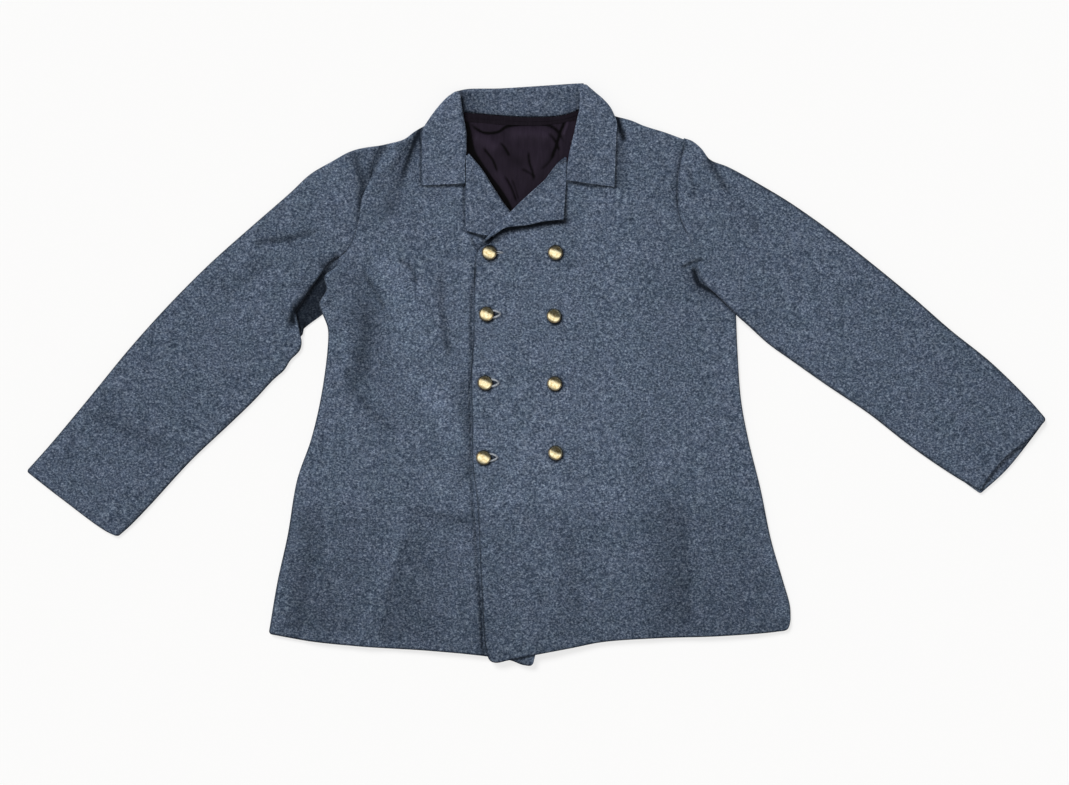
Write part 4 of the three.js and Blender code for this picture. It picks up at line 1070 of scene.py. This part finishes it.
brass, nodes, links, shader = new_material("domed_brass", {"Metallic": 1})
place = nodes.new("ShaderNodeTexCoord")
wear = set_inputs(nodes.new("ShaderNodeTexNoise"), {"Scale": 260, "Detail": 4})
polish = tone_ramp(nodes, [(0.32, (0.66, 0.50, 0.24)), (0.6, (0.95, 0.86, 0.58))])
rim = nodes.new("ShaderNodeAttribute")
rim.attribute_name = "tarnish"
tarnished = nodes.new("ShaderNodeMix")
tarnished.data_type = "RGBA"
tarnished.inputs[7].default_value = (0.10, 0.055, 0.02, 1)
rough = set_inputs(nodes.new("ShaderNodeMapRange"), {"To Min": 0.14, "To Max": 0.32})
bump = set_inputs(nodes.new("ShaderNodeBump"), {"Strength": 0.35, "Distance": 0.3 * MM})
links.new(place.outputs["Object"], wear.inputs["Vector"])
links.new(wear.outputs["Fac"], polish.inputs["Fac"])
links.new(polish.outputs["Color"], tarnished.inputs[6])
links.new(rim.outputs["Fac"], tarnished.inputs[0])
links.new(tarnished.outputs[2], shader.inputs["Base Color"])
links.new(wear.outputs["Fac"], rough.inputs["Value"])
links.new(rough.outputs["Result"], shader.inputs["Roughness"])
links.new(wear.outputs["Fac"], bump.inputs["Height"])
links.new(bump.outputs["Normal"], shader.inputs["Normal"])

for row in BUTTONS:
    button = dict(zip(BUTTON_COLUMNS, row))
    node = f"button_{button['row']}_{button['side']}"
    mesh = bmesh.new()
    tarnish = mesh.verts.layers.float.new("tarnish")
    profile = [mesh.verts.new((radius * MM, 0, height * MM)) for radius, height in BUTTON_PROFILE]
    outline = [mesh.edges.new(pair) for pair in zip(profile, profile[1:])]
    bmesh.ops.spin(mesh, geom=profile + outline, cent=(0, 0, 0), axis=(0, 0, 1), angle=2 * math.pi,
                   steps=SPIN_STEPS, use_merge=True)
    bmesh.ops.remove_doubles(mesh, verts=mesh.verts, dist=1e-6)
    bmesh.ops.recalc_face_normals(mesh, faces=mesh.faces)
    # Tarnish gathers in the step inside the rim, and covers the back and the shank.
    for vert in mesh.verts:
        radius = math.hypot(vert.co.x, vert.co.y) / MM
        in_step = math.exp(-((radius - 9.4) / 0.7) ** 2) * (vert.co.z > 2.5 * MM)
        vert[tarnish] = min(1, 0.9 * in_step + 0.8 * (vert.co.z < 2.4 * MM))
    tilt = Euler((math.radians(button["tilt_x"]), math.radians(button["tilt_y"]), 0)).to_matrix().to_4x4()
    low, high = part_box(node)
    foot = (low[2] + high[2]) / 2 - 0.5 * BUTTON_HEIGHT * MM
    seat = Matrix.Translation((button["x"] * MM, button["y"] * MM, foot)) @ tilt
    bmesh.ops.transform(mesh, matrix=seat, verts=mesh.verts)
    dome = as_object(f"{node}_dome", mesh, brass)
    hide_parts(node)


# ---- buttonholes ----
# Each button of the right column comes up through a worked buttonhole: a slit with its edges whipped
# in grey thread, spread open by the shank.

HOLE_LENGTH = 15.5
# From the top button down: how far the slit is spread open, and the thickness of its whipped edge.
HOLE_OPEN = (1.6, 6, 6, 6)
THREAD = (1.3, 2.7, 2.7, 2.7)
WHIPS = 46

thread_grey, nodes, links, shader = new_material("buttonhole_thread", {"Roughness": 0.8})
place = nodes.new("ShaderNodeTexCoord")
twist = set_inputs(nodes.new("ShaderNodeTexNoise"), {"Scale": 900})
tone = tone_ramp(nodes, [(0.3, (0.27, 0.30, 0.35)), (0.7, (0.58, 0.62, 0.68))])
links.new(place.outputs["Object"], twist.inputs["Vector"])
links.new(twist.outputs["Fac"], tone.inputs["Fac"])
links.new(tone.outputs["Color"], shader.inputs["Base Color"])

for row, spread_open, thread in zip(BUTTONS, HOLE_OPEN, THREAD):
    button = dict(zip(BUTTON_COLUMNS, row))
    mesh, spots = unit_grid(WHIPS * 4, 8)
    round_hole = 2 * np.pi * spots[:, 0]
    round_thread = 2 * np.pi * spots[:, 1]
    spread = np.cos(round_hole / 2) ** 2
    centre_x = button["x"] + 3 + HOLE_LENGTH * (1 - spread)
    centre_y = button["y"] + spread_open * np.sin(round_hole) * (0.5 + 0.5 * spread)
    whipped = thread / 2 * (1 + 0.16 * np.cos(round_hole * WHIPS))
    out_x, out_y = -np.cos(round_hole), np.sin(round_hole)
    x = centre_x + out_x * whipped * np.cos(round_thread)
    y = centre_y + out_y * whipped * np.cos(round_thread)
    place_points(mesh, x, y, left_face(x, y) + 0.15 + 0.8 * whipped * (1 + np.sin(round_thread)))
    bmesh.ops.remove_doubles(mesh, verts=mesh.verts, dist=1e-6)
    bmesh.ops.recalc_face_normals(mesh, faces=mesh.faces)
    hole = as_object(f"buttonhole_{button['row']}", mesh, thread_grey)
